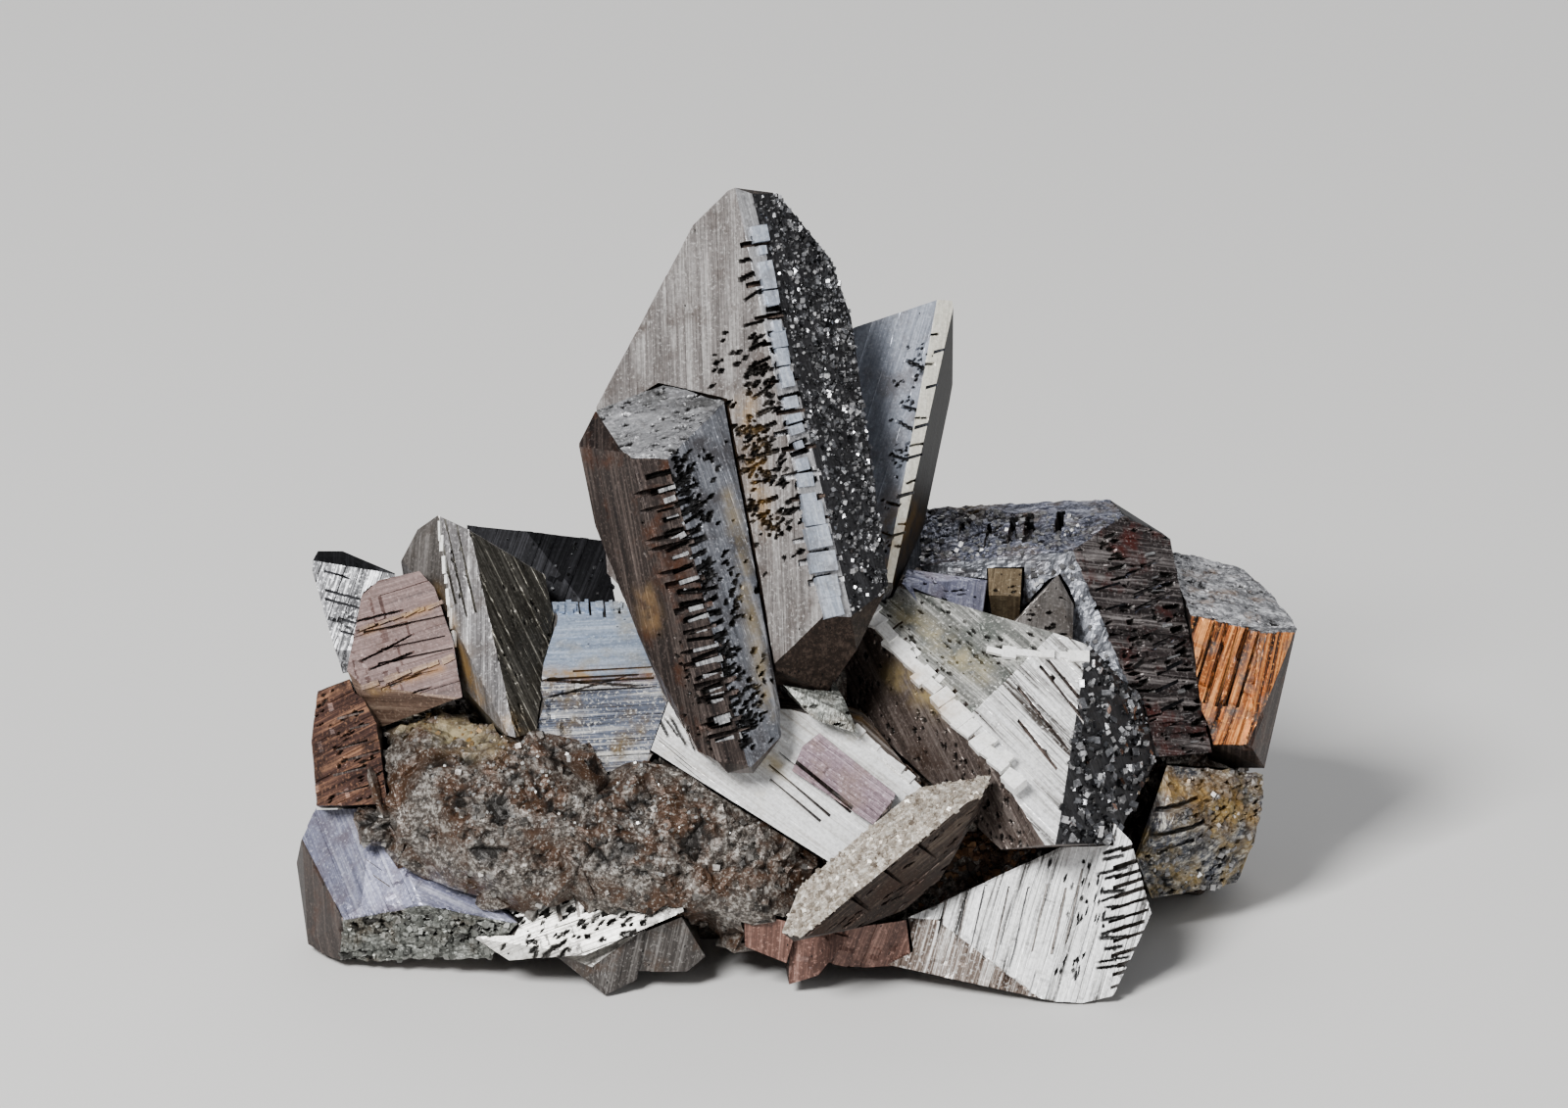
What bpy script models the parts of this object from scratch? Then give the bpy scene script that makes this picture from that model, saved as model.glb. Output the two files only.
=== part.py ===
"""Arsenopyrite: a cluster of striated metallic crystals grown together on a lump of rough ore.

The cluster rests on the flat cut under its matrix, at z = 0, with +X to the right and -Y to the
front. Lengths are in millimetres here and become metres once, in finish_piece().

The crystals are set out on a drawing board that leans back by BOARD_LEAN. A corner is given as
(across, up, out): to the right, up the board, and out in front of it. Each crystal is the block
that its flat faces leave, and each face is the plane through the corners that share it.
"""
import math
import random

import bmesh
import bpy
from mathutils import Matrix, Vector, noise

MILLIMETRE = 0.001
BOARD_LEAN = math.radians(20)
BOARD_HEIGHT = 40.0
JOINT_GAP = 0.3
MERGE_DISTANCE = 0.02
SLIVER = 0.005
FLAT_ANGLE = math.radians(10)
STOCK_BLOCK = 400.0
SLOT_TAPER = 0.45
SLOT_OVERSHOOT = 1.5

LUMP_WAVES = 1.6
LUMP_SWELL = 0.10
CRAG_WAVES = 4.5
CRAG_DEPTH = 0.14
GRAIN_SEAT = 0.9
GRAIN_SIZES = (2.4, 4.2)
GRAIN_CORNERS = 9

for leftover in list(bpy.data.objects):
    bpy.data.objects.remove(leftover)


def place(across, up, out):
    """A point of the leaning board, in the part's own upright frame."""
    return Vector((
        across,
        up * math.sin(BOARD_LEAN) - out * math.cos(BOARD_LEAN),
        BOARD_HEIGHT + up * math.cos(BOARD_LEAN) + out * math.sin(BOARD_LEAN),
    ))


# ---------------------------------------------------------------------------------------------
# Finishes
# ---------------------------------------------------------------------------------------------
def finish(name, colour, roughness, metallic):
    material = bpy.data.materials.new(name)
    material.use_nodes = True
    shader = material.node_tree.nodes["Principled BSDF"]
    shader.inputs["Base Color"].default_value = (*colour, 1.0)
    shader.inputs["Roughness"].default_value = roughness
    shader.inputs["Metallic"].default_value = metallic
    return material


ORE_CRUST = finish("ore_crust", (0.16, 0.14, 0.12), 0.75, 0.2)
STEEL_GREY = finish("steel_grey", (0.32, 0.31, 0.31), 0.42, 0.8)
DARK_GREY = finish("dark_grey", (0.13, 0.12, 0.12), 0.5, 0.7)
BLUE_GREY = finish("blue_grey", (0.34, 0.38, 0.45), 0.4, 0.8)
SILVER = finish("silver", (0.78, 0.77, 0.73), 0.3, 0.9)
BROWN = finish("brown", (0.16, 0.11, 0.09), 0.55, 0.5)
DUSTY_PINK = finish("dusty_pink", (0.33, 0.22, 0.20), 0.55, 0.5)
RUSSET = finish("russet", (0.22, 0.09, 0.05), 0.55, 0.5)
LAVENDER = finish("lavender", (0.33, 0.33, 0.43), 0.42, 0.7)
COPPER = finish("copper_orange", (0.65, 0.22, 0.06), 0.45, 0.6)
BLACK = finish("black", (0.03, 0.03, 0.03), 0.5, 0.6)


# ---------------------------------------------------------------------------------------------
# Making solids
# ---------------------------------------------------------------------------------------------
def face_planes(corners):
    """The crystal's flat faces: the hull of its corners, with nearly level faces made one."""
    bm = bmesh.new()
    for corner in corners:
        bm.verts.new(place(*corner))
    hull = bmesh.ops.convex_hull(bm, input=bm.verts[:])
    inside = {item for item in hull["geom_interior"] + hull["geom_unused"]
              if isinstance(item, bmesh.types.BMVert)}
    bmesh.ops.delete(bm, geom=list(inside), context="VERTS")
    bmesh.ops.recalc_face_normals(bm, faces=bm.faces[:])
    bmesh.ops.dissolve_limit(bm, angle_limit=FLAT_ANGLE, verts=bm.verts[:], edges=bm.edges[:])
    bm.normal_update()
    planes = [(face.calc_center_median(), face.normal.copy()) for face in bm.faces]
    bm.free()
    return planes


def cut_block(planes, grow=0.0):
    """What the planes leave of a block of stock, each plane moved outwards by grow."""
    bm = bmesh.new()
    bmesh.ops.create_cube(bm, size=STOCK_BLOCK)
    for point, normal in planes:
        everything = bm.verts[:] + bm.edges[:] + bm.faces[:]
        cut = bmesh.ops.bisect_plane(bm, geom=everything, plane_co=point + normal * grow,
                                     plane_no=normal, clear_outer=True)
        rim = [item for item in cut["geom_cut"] if isinstance(item, bmesh.types.BMEdge)]
        if rim:
            bmesh.ops.contextual_create(bm, geom=rim)
    bmesh.ops.remove_doubles(bm, verts=bm.verts[:], dist=MERGE_DISTANCE)
    bmesh.ops.recalc_face_normals(bm, faces=bm.faces[:])
    return bm


def as_object(name, bm):
    mesh = bpy.data.meshes.new(name)
    bm.to_mesh(mesh)
    bm.free()
    piece = bpy.data.objects.new(name, mesh)
    bpy.context.scene.collection.objects.link(piece)
    return piece


def as_cutter(name, bm):
    cutter = as_object(name, bm)
    cutter.hide_render = True
    cutter.display_type = "WIRE"
    return cutter


def box_of(piece):
    points = [vertex.co for vertex in piece.data.vertices]
    low = Vector(min(point[axis] for point in points) for axis in range(3))
    high = Vector(max(point[axis] for point in points) for axis in range(3))
    return low, high


def boxes_meet(one, other):
    low, high = box_of(one)
    other_low, other_high = box_of(other)
    return all(low[axis] < other_high[axis] and other_low[axis] < high[axis] for axis in range(3))


def apply_modifiers(piece):
    bpy.context.view_layer.update()
    evaluated = piece.evaluated_get(bpy.context.evaluated_depsgraph_get())
    piece.data = bpy.data.meshes.new_from_object(evaluated)
    piece.modifiers.clear()


def combine(piece, others, operation):
    """One Boolean for each of the others that reaches the piece, applied to its mesh."""
    for other in others:
        if not boxes_meet(piece, other):
            continue
        boolean = piece.modifiers.new("boolean", "BOOLEAN")
        boolean.operation = operation
        boolean.solver = "EXACT"
        boolean.object = other
        apply_modifiers(piece)


def keep_main_body(piece):
    """Drops the loose crumbs that the cuts left, and keeps the biggest body."""
    bm = bmesh.new()
    bm.from_mesh(piece.data)
    bmesh.ops.remove_doubles(bm, verts=bm.verts[:], dist=SLIVER)
    bmesh.ops.dissolve_degenerate(bm, edges=bm.edges[:], dist=SLIVER)
    bmesh.ops.triangulate(bm, faces=bm.faces[:])
    waiting = set(bm.faces)
    bodies = []
    while waiting:
        body = {waiting.pop()}
        front = list(body)
        while front:
            face = front.pop()
            for edge in face.edges:
                for neighbour in edge.link_faces:
                    if neighbour in waiting:
                        waiting.remove(neighbour)
                        body.add(neighbour)
                        front.append(neighbour)
        bodies.append(body)
    bodies.sort(key=lambda body: sum(face.calc_area() for face in body))
    for crumb in bodies[:-1]:
        bmesh.ops.delete(bm, geom=list(crumb), context="FACES")
    bm.to_mesh(piece.data)
    bm.free()


def finish_piece(piece, material):
    keep_main_body(piece)
    piece.data.transform(Matrix.Scale(MILLIMETRE, 4))
    piece.data.materials.clear()
    piece.data.materials.append(material)


def slots(start, end, count, run, length, width, depth, seed, middle):
    """A row of tapered slots from start to end, each cut along run and in towards middle."""
    rng = random.Random(seed)
    first = place(*start)
    last = place(*end)
    along = (last - first).normalized()
    direction = (place(*run) - place(0, 0, 0)).normalized()
    inward = direction.cross(along).normalized()
    if inward.dot(place(*middle) - first) < 0:
        inward.negate()
    row = bmesh.new()
    for number in range(count):
        share = (number + 0.5 + rng.uniform(-0.3, 0.3)) / count
        centre = first.lerp(last, share) + direction * rng.uniform(-0.12, 0.12) * length
        half_run = direction * length * rng.uniform(0.36, 0.55)
        half_width = along * width * rng.uniform(0.35, 0.65)
        bottom = inward * depth * rng.uniform(0.7, 1.2)
        corners = []
        for side in (-1, 1):
            for level, taper in ((-inward * SLOT_OVERSHOOT, 1.0), (bottom, SLOT_TAPER)):
                for reach in (-1, 1):
                    corners.append(row.verts.new(
                        centre + half_run * side + level + half_width * reach * taper))
        bmesh.ops.convex_hull(row, input=corners)
    bmesh.ops.recalc_face_normals(row, faces=row.faces[:])
    return as_cutter("slots", row)


floor = bmesh.new()
bmesh.ops.create_cube(floor, size=STOCK_BLOCK)
bmesh.ops.translate(floor, vec=(0, 0, -STOCK_BLOCK / 2), verts=floor.verts[:])
FLOOR = as_cutter("floor", floor)
neighbours = [FLOOR]


def crystal(name, material, corners, marks=(), terraces=()):
    """A flat-faced crystal, joined with its terraces, marked, and fitted to those made before it."""
    planes = face_planes(corners)
    piece = as_object(name, cut_block(planes))
    allowance = [as_cutter(name + "_allowance", cut_block(planes, JOINT_GAP))]
    for terrace in terraces:
        terrace_planes = face_planes(terrace)
        combine(piece, [as_cutter("terrace", cut_block(terrace_planes))], "UNION")
        allowance.append(as_cutter(name + "_allowance", cut_block(terrace_planes, JOINT_GAP)))
    combine(piece, neighbours, "DIFFERENCE")
    combine(piece, marks, "DIFFERENCE")
    finish_piece(piece, material)
    neighbours.extend(allowance)
    return piece


# ---------------------------------------------------------------------------------------------
# The two big crystals in the middle
# ---------------------------------------------------------------------------------------------
FRONT_PRISM_MIDDLE = (-10, -4, 6)
crystal(
    "front_prism", DARK_GREY,
    corners=[
        (-19.2, 14.5, 6.4), (-15.9, 9.8, 13.5), (-12, 9.6, 13.1), (-12.3, 17.3, 4.6), (-5.9, 15.4, 8.5),
        (-20.7, 11.5, 7), (-20.1, 5.9, 7.2), (-17.2, -3.3, 7.8), (-13.6, -10.2, 8.8), (-11.3, -15.8, 10.4),
        (-8.8, -20, 12.8), (-6.7, -21, 15), (-3.3, -21.5, 14.6), (-5.7, -22.2, 13), (-3.1, -22.2, 12.6),
        (-0.3, -18.6, 12), (-0.3, -17.3, 11.6), (-1.1, -14.2, 11.4), (-2.5, -3.5, 10.4), (-4.2, 4.3, 9.4),
        (-16, 14, -2), (-8, 12, -1), (-14, -6, 1), (-4, -16, 5), (-4, -4, 3),
    ],
    marks=[
        slots((-13.6, 7, 13.6), (-5.2, -19.5, 15), 14, (1.0, 0.25, 0), 4.6, 0.9, 1.1, 3,
              FRONT_PRISM_MIDDLE),
    ],
)

TALL_CRYSTAL_MIDDLE = (-4, 12, 0)
crystal(
    "tall_crystal", STEEL_GREY,
    corners=[
        (-5.0, 37.2, 9), (-3.3, 36.6, 8.6), (4, -6.3, 14), (6.9, -6.2, 13),
        (-8.8, 34.3, 6.9), (-19.2, 14.9, 1.2), (-18, -2, 1.9), (-8, -12, 7.4), (-1.2, -11.5, 11),
        (-0.6, 36.7, 5.9), (1.1, 34.4, 5), (4.8, 29.9, 2.8), (7.1, 23.3, 2.7),
        (9.4, -2.7, 9.3), (10.5, -3.5, 8.5), (7.2, -9.7, 10.4), (4.5, -14.3, 7), (2, -13.6, 7.8),
        (-1, 33, -3), (4, 27, -6), (-12, 22, -8), (-11, -8, -6), (7, -4, -6), (4, -12, 1),
    ],
    marks=[
        slots((-3.4, 33.5, 9.2), (0.6, 16.5, 11.2), 5, (1, 0.15, 0), 3.4, 0.7, 0.9, 5,
              TALL_CRYSTAL_MIDDLE),
        slots((0.8, 16, 11.3), (5.0, -3.5, 13.4), 9, (1, 0.15, 0), 5.2, 0.9, 1.1, 6,
              TALL_CRYSTAL_MIDDLE),
    ],
)

crystal(
    "right_blade", BLUE_GREY,
    corners=[
        (15.7, 26, -3), (17.2, 25.9, -3.8), (7.1, 23.2, -7), (2, 20, -10), (1, 0, -5),
        (10.3, -2.8, 1), (11.3, -3, 0.4), (17.4, 17, -9), (15.5, 8.5, -8), (14, 2, -8),
        (10, 24, -12), (15.5, 23.5, -11), (6, 0, -13), (12, 0, -11), (9, -9, -4),
    ],
    marks=[
        slots((16.2, 22, -3), (11.4, 0.5, 0), 6, (1, 0.3, -0.2), 2.6, 0.5, 0.9, 8,
              (9, 10, -8)),
    ],
)

# ---------------------------------------------------------------------------------------------
# The crystals at the front, right of the middle
# ---------------------------------------------------------------------------------------------
crystal(
    "silver_tablet", SILVER,
    corners=[
        (-11.8, -15.3, 7.2), (-13.6, -20, 9.5), (-9, -23.3, 10.6), (5.2, -31.4, 12.8),
        (7.7, -28.4, 11.2), (14.1, -23.8, 8.4), (8, -17.9, 6.4), (-0.7, -15.4, 6.1),
        (-11, -14, -1), (-13, -20, 1), (4, -31, 4), (13, -24, 0), (8, -16, -1),
    ],
    marks=[
        slots((3.5, -22.5, 9), (0.8, -26.2, 10.8), 3, (0.756, -0.654, 0.15), 9, 0.5, 0.5, 11,
              (0, -22, 0)),
        slots((-12, -18.8, 9), (-9.5, -22.2, 10), 3, (0.756, -0.654, 0.15), 4.5, 0.5, 0.5, 12,
              (0, -22, 0)),
    ],
    terraces=[
        [(3.6, -18.2, 8.6), (11.3, -24.3, 11.0), (10.8, -25.8, 11.4), (9.0, -27.4, 12.0),
         (0.8, -22.0, 9.9), (1.9, -19.5, 9.2),
         (3.6, -18.2, 5), (11.3, -24.3, 6), (9.0, -27.4, 8), (0.8, -22.0, 6)],
    ],
)

crystal(
    "front_wedge", BROWN,
    corners=[
        (-0.2, -38.3, 15.6), (1.8, -38.8, 16.6), (18.2, -25.3, 16.4), (19.9, -24.6, 15.8),
        (21, -22.5, 12), (14.1, -23.6, 12.2), (7.7, -28.2, 12.9), (1.3, -34.3, 13.8),
        (1, -39.2, 15.2), (8, -37.8, 12.8), (12, -36.3, 11.4), (16.4, -32.5, 11), (19.6, -26.4, 13.6),
        (6, -32, 3), (17, -26, 2), (12, -34, 1), (3, -36, 8),
    ],
    marks=[
        slots((7, -36, 14.5), (16, -28.5, 14.5), 3, (0.7, -0.6, -0.3), 4, 0.5, 0.5, 14,
              (10, -31, 6)),
    ],
)

crystal(
    "striped_crystal", SILVER,
    corners=[
        (7.6, -4.2, -0.6), (12.6, -11.8, 4.8), (17.5, -17.6, 9), (23, -24, 12), (27.3, -29.4, 14.2),
        (11.2, -3.2, -1.2), (24.6, -8.7, 4.4), (27.5, -8.0, 4), (31.1, -9.3, 4), (31.9, -10.9, 4),
        (5, -14, -3.5), (14, -22.5, 4.4), (22, -30, 9.3),
        (36.5, -15, -3), (38, -21, -2), (33.5, -29.5, 6),
        (10, -8, -12), (30, -13, -13), (34, -26, -8), (20, -28, -3),
    ],
    marks=[
        slots((22, -11.5, 5.6), (28.6, -18, 8.5), 5, (0.60, -0.74, 0.32), 14, 0.5, 0.5, 21,
              (20, -20, -2)),
        slots((29.4, -11.5, 5), (25.2, -19.5, 9.4), 4, (0.60, -0.74, 0.32), 9, 0.45, 0.5, 22,
              (20, -20, -2)),
        slots((9.5, -6.4, 1.6), (22.5, -23, 11.6), 9, (0.77, 0.5, -0.5), 3.2, 0.6, 0.6, 23,
              (20, -20, -2)),
    ],
)

crystal(
    "foot_chip", DARK_GREY,
    corners=[
        (-0.4, -12.9, 8.3), (3.1, -16.8, 9.4), (5.9, -16.3, 9.3), (7.4, -18.2, 9.6), (6.2, -14.6, 8.2),
        (2.6, -12.6, 6.5), (-0.4, -13.6, 4), (7.2, -17.6, 4), (5, -13, 3),
    ],
)

# ---------------------------------------------------------------------------------------------
# The left side
# ---------------------------------------------------------------------------------------------
LEFT_WEDGE_MIDDLE = (-31, -6, -4)
crystal(
    "left_wedge", LAVENDER,
    corners=[
        (-35.3, 4, -2), (-34.2, -5.7, 1.4), (-28.2, -18.4, 8.5), (-31.9, 2.3, 0.5), (-27.3, -18.6, 9),
        (-24.5, -2, -5), (-23.5, -6.2, -3.3), (-25.3, -12.8, 3.2), (-25.1, -18, 6.5),
        (-39.3, -0.9, -6), (-37.5, 2.5, -5), (-36, 2, -11), (-28, -1, -12), (-30, -18, -4), (-38, -8, -7),
    ],
    marks=[
        slots((-34.6, -1, 0), (-32.1, -1.6, 1.6), 3, (0.24, -0.95, 0.35), 13, 0.4, 0.4, 31,
              LEFT_WEDGE_MIDDLE),
    ],
)

crystal(
    "pink_block", DUSTY_PINK,
    corners=[
        (-43.1, -4.2, 0.2), (-41.6, -2.9, 0.6), (-37.3, -1.6, 2), (-35.7, -3.4, 2.7),
        (-33.4, -9.8, 4.1), (-33, -14.6, 4.7), (-43.1, -13.4, 1.1), (-44.6, -11.8, 0.5),
        (-43.9, -6.5, 0.3), (-42.5, -4, -8), (-36, -3, -7), (-44, -12, -8), (-34, -14, -6),
        (-42, -18, -2),
    ],
    marks=[
        slots((-39, -6.2, 2), (-38.4, -13.2, 3), 4, (0.96, 0.2, 0.33), 9, 0.5, 0.6, 33,
              (-39, -9, -6)),
    ],
)

crystal(
    "far_left_crystal", STEEL_GREY,
    corners=[
        (-48.2, -0.6, -5), (-47.7, 0.3, -6), (-44.9, 0.3, -6), (-39.8, -2.1, -4), (-47.2, -5.2, -3.6),
        (-46.2, -9.8, -3), (-45.1, -12.2, -3), (-40, -10, -2.4),
        (-46, 0, -13), (-40, -2.5, -14), (-44, -12, -14), (-46.8, -5, -11),
    ],
    marks=[
        slots((-45, -1.4, -4), (-43.4, -9.6, -2.8), 5, (0.95, -0.25, 0.15), 5.5, 0.5, 0.6, 35,
              (-43, -6, -10)),
    ],
)

crystal(
    "russet_block", RUSSET,
    corners=[
        (-47.7, -14, -3), (-44, -12.6, -1), (-41.3, -18, 3), (-40.6, -25.3, 4.6), (-47.7, -25.8, 0.6),
        (-48.3, -19, -2), (-46.5, -14, -11), (-41, -15, -10), (-47.4, -26, -10), (-39, -26, -6),
    ],
    marks=[
        slots((-45, -15.5, 0), (-44.6, -24.8, 2.6), 6, (0.93, 0.22, 0.4), 6, 0.5, 0.6, 37,
              (-44, -20, -8)),
    ],
)

crystal(
    "blue_block", BLUE_GREY,
    corners=[
        (-23.4, -4.9, -4.5), (-16.4, -4.9, -4.5), (-15, -7, -3), (-25.2, -12.8, 3.2), (-11, -11.8, 3),
        (-11, -16, 4), (-14, -21.5, 6.6), (-19.4, -22.5, 7), (-24.8, -19.5, 6),
        (-23, -7, -13), (-15, -7, -12), (-12, -20, -6), (-24, -20, -8),
    ],
    marks=[
        slots((-23, -5.6, -4.2), (-16.4, -5.6, -4.2), 5, (0.1, -1, 0.9), 2.6, 0.5, 0.6, 39,
              (-18, -14, -6)),
        slots((-18.5, -11.4, 2.4), (-18.5, -14.2, 3.8), 4, (1, 0.06, 0), 11, 0.4, 0.4, 40,
              (-18, -14, -6)),
    ],
)

crystal(
    "back_crystal", BLACK,
    corners=[
        (-32.6, 3, -14), (-27.8, 2.6, -13), (-18.2, 1.3, -13), (-17, -8, -8), (-30, -10, -8),
        (-32, 2, -20), (-19, 0.5, -21), (-16, -12, -18), (-33, -10, -18),
    ],
)

crystal(
    "lavender_block", LAVENDER,
    corners=[
        (-47.7, -25.6, -4), (-41.8, -26.1, 0), (-36.7, -35.6, 6), (-43.4, -35.9, 3.5),
        (-49.3, -28.9, -3.4), (-49.9, -31.7, -6), (-48.7, -39.9, -4.6), (-45.4, -41.9, -0.6),
        (-44.9, -37.4, 3), (-37.2, -41.1, 2.6), (-29.6, -40.7, 4), (-27, -37.6, 7),
        (-46, -27, -16), (-47.4, -36, -16), (-34, -30, -10), (-32, -38, -8),
    ],
    marks=[
        slots((-43.6, -28, 0.2), (-41.8, -33.4, 3.6), 3, (0.75, -0.55, 0.4), 5, 0.4, 0.4, 43,
              (-41, -33, -6)),
    ],
)

# ---------------------------------------------------------------------------------------------
# Under the front edge
# ---------------------------------------------------------------------------------------------
crystal(
    "pale_blade", SILVER,
    corners=[
        (-31.4, -39.1, 5.4), (-27.4, -34.9, 5), (-14.3, -33.6, 7.8), (-10.5, -34.6, 9.4),
        (-10.2, -36.3, 9.9), (-19.9, -40.5, 9), (-27.8, -41.4, 6.4),
        (-26, -37, -2), (-12, -35, 0), (-20, -40, 1), (-27, -40.5, 1),
    ],
    marks=[
        slots((-26, -36, 6), (-14.5, -35, 9), 6, (0.15, -0.9, 0.4), 2.6, 0.7, 0.5, 51,
              (-20, -37, 1)),
    ],
)

crystal(
    "lower_points_left", DARK_GREY,
    corners=[
        (-24.3, -40.2, 3.4), (-19.5, -42, 7.4), (-18.1, -44.8, 7.2), (-15, -43.4, 6.6), (-14, -38, 8),
        (-22, -37, -4), (-16, -40, -4), (-17, -43.2, 3.2),
    ],
    terraces=[
        [(-15.6, -39, 7.4), (-10.4, -36.9, 8.4), (-8, -41, 6), (-10, -42.6, 6.2), (-15, -42.4, 6.4),
         (-15.5, -39, -3), (-9, -38, -3), (-10, -41, -1), (-14.5, -41.5, 0)],
    ],
)

crystal(
    "lower_points_right", RUSSET,
    corners=[
        (-4.1, -36.2, 9), (-3.9, -39.9, 8), (0.3, -41.6, 8), (1.3, -37.6, 9), (-3.5, -38, -2),
        (1, -39, -2), (2, -36, -2), (-3.5, -35, 0),
    ],
    terraces=[
        [(-0.2, -40.2, 6), (0.5, -43.8, 6.8), (3.5, -42.8, 7.2), (6.6, -39, 8.2), (0.6, -37.6, 7.4),
         (0, -39, -2), (5.6, -38.6, -2), (2.4, -41.6, 1)],
        [(4, -38.6, 8), (12.4, -37.2, 8.4), (13, -41.9, 6), (6.8, -42.1, 6.2), (4.4, -41.6, 6),
         (5, -38, -2), (12, -38, -2), (7, -40.8, -1), (12, -40.6, -1)],
    ],
)

FAN_MIDDLE = (26, -36, 2)
crystal(
    "fan_crystal", SILVER,
    corners=[
        (33.5, -27.3, 6), (28.9, -29.9, 6.6), (25.1, -32.8, 7.3), (12.5, -37.0, 7.2),
        (9.8, -41.6, 6.4), (17.6, -43.2, 8), (26.3, -45.2, 9.2), (30.5, -45.7, 9.6), (33.4, -45.0, 9.4),
        (37.3, -36.5, 7.4), (35.3, -29.3, 6.2),
        (31, -30, -3), (35, -32, -3), (35.5, -38, 0), (31, -42.5, 3), (14, -38, -3), (13, -40.5, 1),
    ],
    marks=[
        slots((35.4, -29.5, 6.4), (35.0, -44, 9), 13, (1, 0.35, 0.05), 4.2, 0.6, 1.5, 55,
              FAN_MIDDLE),
        slots((14, -39, 8), (31, -36, 8), 8, (0.22, 0.96, -0.2), 9, 0.5, 0.5, 56,
              FAN_MIDDLE),
    ],
)

# ---------------------------------------------------------------------------------------------
# The right side
# ---------------------------------------------------------------------------------------------
crystal(
    "saddle_crystal", LAVENDER,
    corners=[
        (12.6, -1.6, -3), (20.8, -2.6, -5), (20, -7.8, 0), (14.6, -6, 1), (12, -3, 0),
        (14, -3, -12), (21, -4, -12), (18, -9, -6),
    ],
)

crystal(
    "saddle_block", BROWN,
    corners=[
        (20.9, -1.4, -3.4), (24.3, -1.5, -3.6), (24.2, -4.3, -1.6), (20.9, -4.2, -1.2),
        (21.2, -2, -9), (24.4, -2, -9), (24, -7, -5), (21.4, -7, -5),
    ],
)

crystal(
    "saddle_wedge", STEEL_GREY,
    corners=[
        (22.3, -8.4, 1.8), (28, -2.1, -3.6), (29.6, -5.2, -2.4), (29.4, -9, 1.6), (26, -9.4, 2.8),
        (24, -6, -8), (29, -4, -10), (27, -11, -6),
    ],
)

PITTED_MIDDLE = (33, -8, -14)
crystal(
    "pitted_block", DARK_GREY,
    corners=[
        (29.5, 0.5, -4.6), (35, 3.9, -10), (39.6, 1.7, -12.5), (40.3, -3, -11), (43.9, -20, -6.4),
        (38.5, -21, -2), (36.3, -14.3, -3.3), (32.6, -9.7, -3),
        (33.6, 5.6, -20), (30, 4.9, -22), (18.2, 4.8, -23), (14, 4.6, -22), (14, -1.4, -9),
        (21, -3.6, -5), (39, 1.5, -22), (42, -18, -20), (16, -6, -22), (24, -18, -10),
    ],
    marks=[
        slots((37.2, 0, -9.4), (41.6, -18, -4.6), 9, (0.9, 0.45, -0.6), 6, 0.8, 1.1, 61,
              PITTED_MIDDLE),
        slots((33, -1.5, -6), (36.6, -12, -3), 5, (0.9, 0.3, -0.6), 3, 0.6, 0.6, 62,
              PITTED_MIDDLE),
        slots((17, 2, -14), (29, 2.4, -12), 5, (0.3, 1.0, -3.2), 7, 1.0, 0.6, 63,
              PITTED_MIDDLE),
    ],
)

ORANGE_MIDDLE = (46, -12, -15)
crystal(
    "orange_crystal", COPPER,
    corners=[
        (41.2, -6, -8), (44.6, -7.4, -8), (48.9, -8.2, -8.5), (52.5, -7.9, -11),
        (39.9, 0.2, -22), (42.9, -0.3, -23), (47.9, -1.8, -23), (49.6, -3.4, -21), (52.4, -6.7, -15),
        (42.3, -12.7, -7.6), (43.6, -19.5, -6.5), (47.7, -19.5, -7),
        (51.1, -16, -11), (49.4, -22, -11.5), (44, -22, -16), (49, -18, -20), (41, -16, -20),
    ],
    marks=[
        slots((42.6, -10.5, -7.4), (48.6, -11.5, -8), 5, (0.28, 0.95, -0.1), 9, 0.6, 0.7, 65,
              ORANGE_MIDDLE),
    ],
)

crystal(
    "mottled_block", BLUE_GREY,
    corners=[
        (39, -21.6, -3), (49.3, -22.6, -10), (48.6, -28.9, -9.6), (46.4, -33.8, -12), (43.4, -34.3, -9),
        (37.7, -35.3, -7), (36, -31, -2), (40, -27, -0.6),
        (40, -22, -22), (48, -24, -20), (45, -34, -22), (36, -32, -20),
    ],
    marks=[
        slots((38.6, -25.6, -1.6), (41, -33, -4), 4, (1, 0.3, -0.5), 7, 0.9, 0.8, 67,
              (42, -28, -14)),
    ],
)

# ---------------------------------------------------------------------------------------------
# The back
# ---------------------------------------------------------------------------------------------
REAR_PRISM_MIDDLE = (-6, -2, -24)
crystal(
    "rear_prism", STEEL_GREY,
    corners=[
        (-13, 15, -20), (-8, 19, -23), (-2, 15, -22), (-4, 13, -29), (-12, 12, -29),
        (-19, -22, -10), (-6, -22, -8), (5, -22, -12), (-1, -22, -24), (-15, -22, -24),
    ],
    marks=[
        slots((-8, 12, -29), (-7.4, -8, -26), 8, (1, 0, 0.1), 6, 0.8, 1.0, 71,
              REAR_PRISM_MIDDLE),
    ],
)

crystal(
    "rear_blade", BLUE_GREY,
    corners=[
        (10, 2, -24), (20, 3.5, -25), (26, -1, -27), (24, -4, -35), (12, -3, -35),
        (2, -24, -12), (26, -26, -12), (22, -28, -30), (4, -26, -30),
    ],
    marks=[
        slots((12, -8, -34), (22, -9, -34), 5, (0.05, 1, 0.3), 12, 0.6, 0.6, 75,
              (14, -12, -22)),
    ],
)

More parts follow.
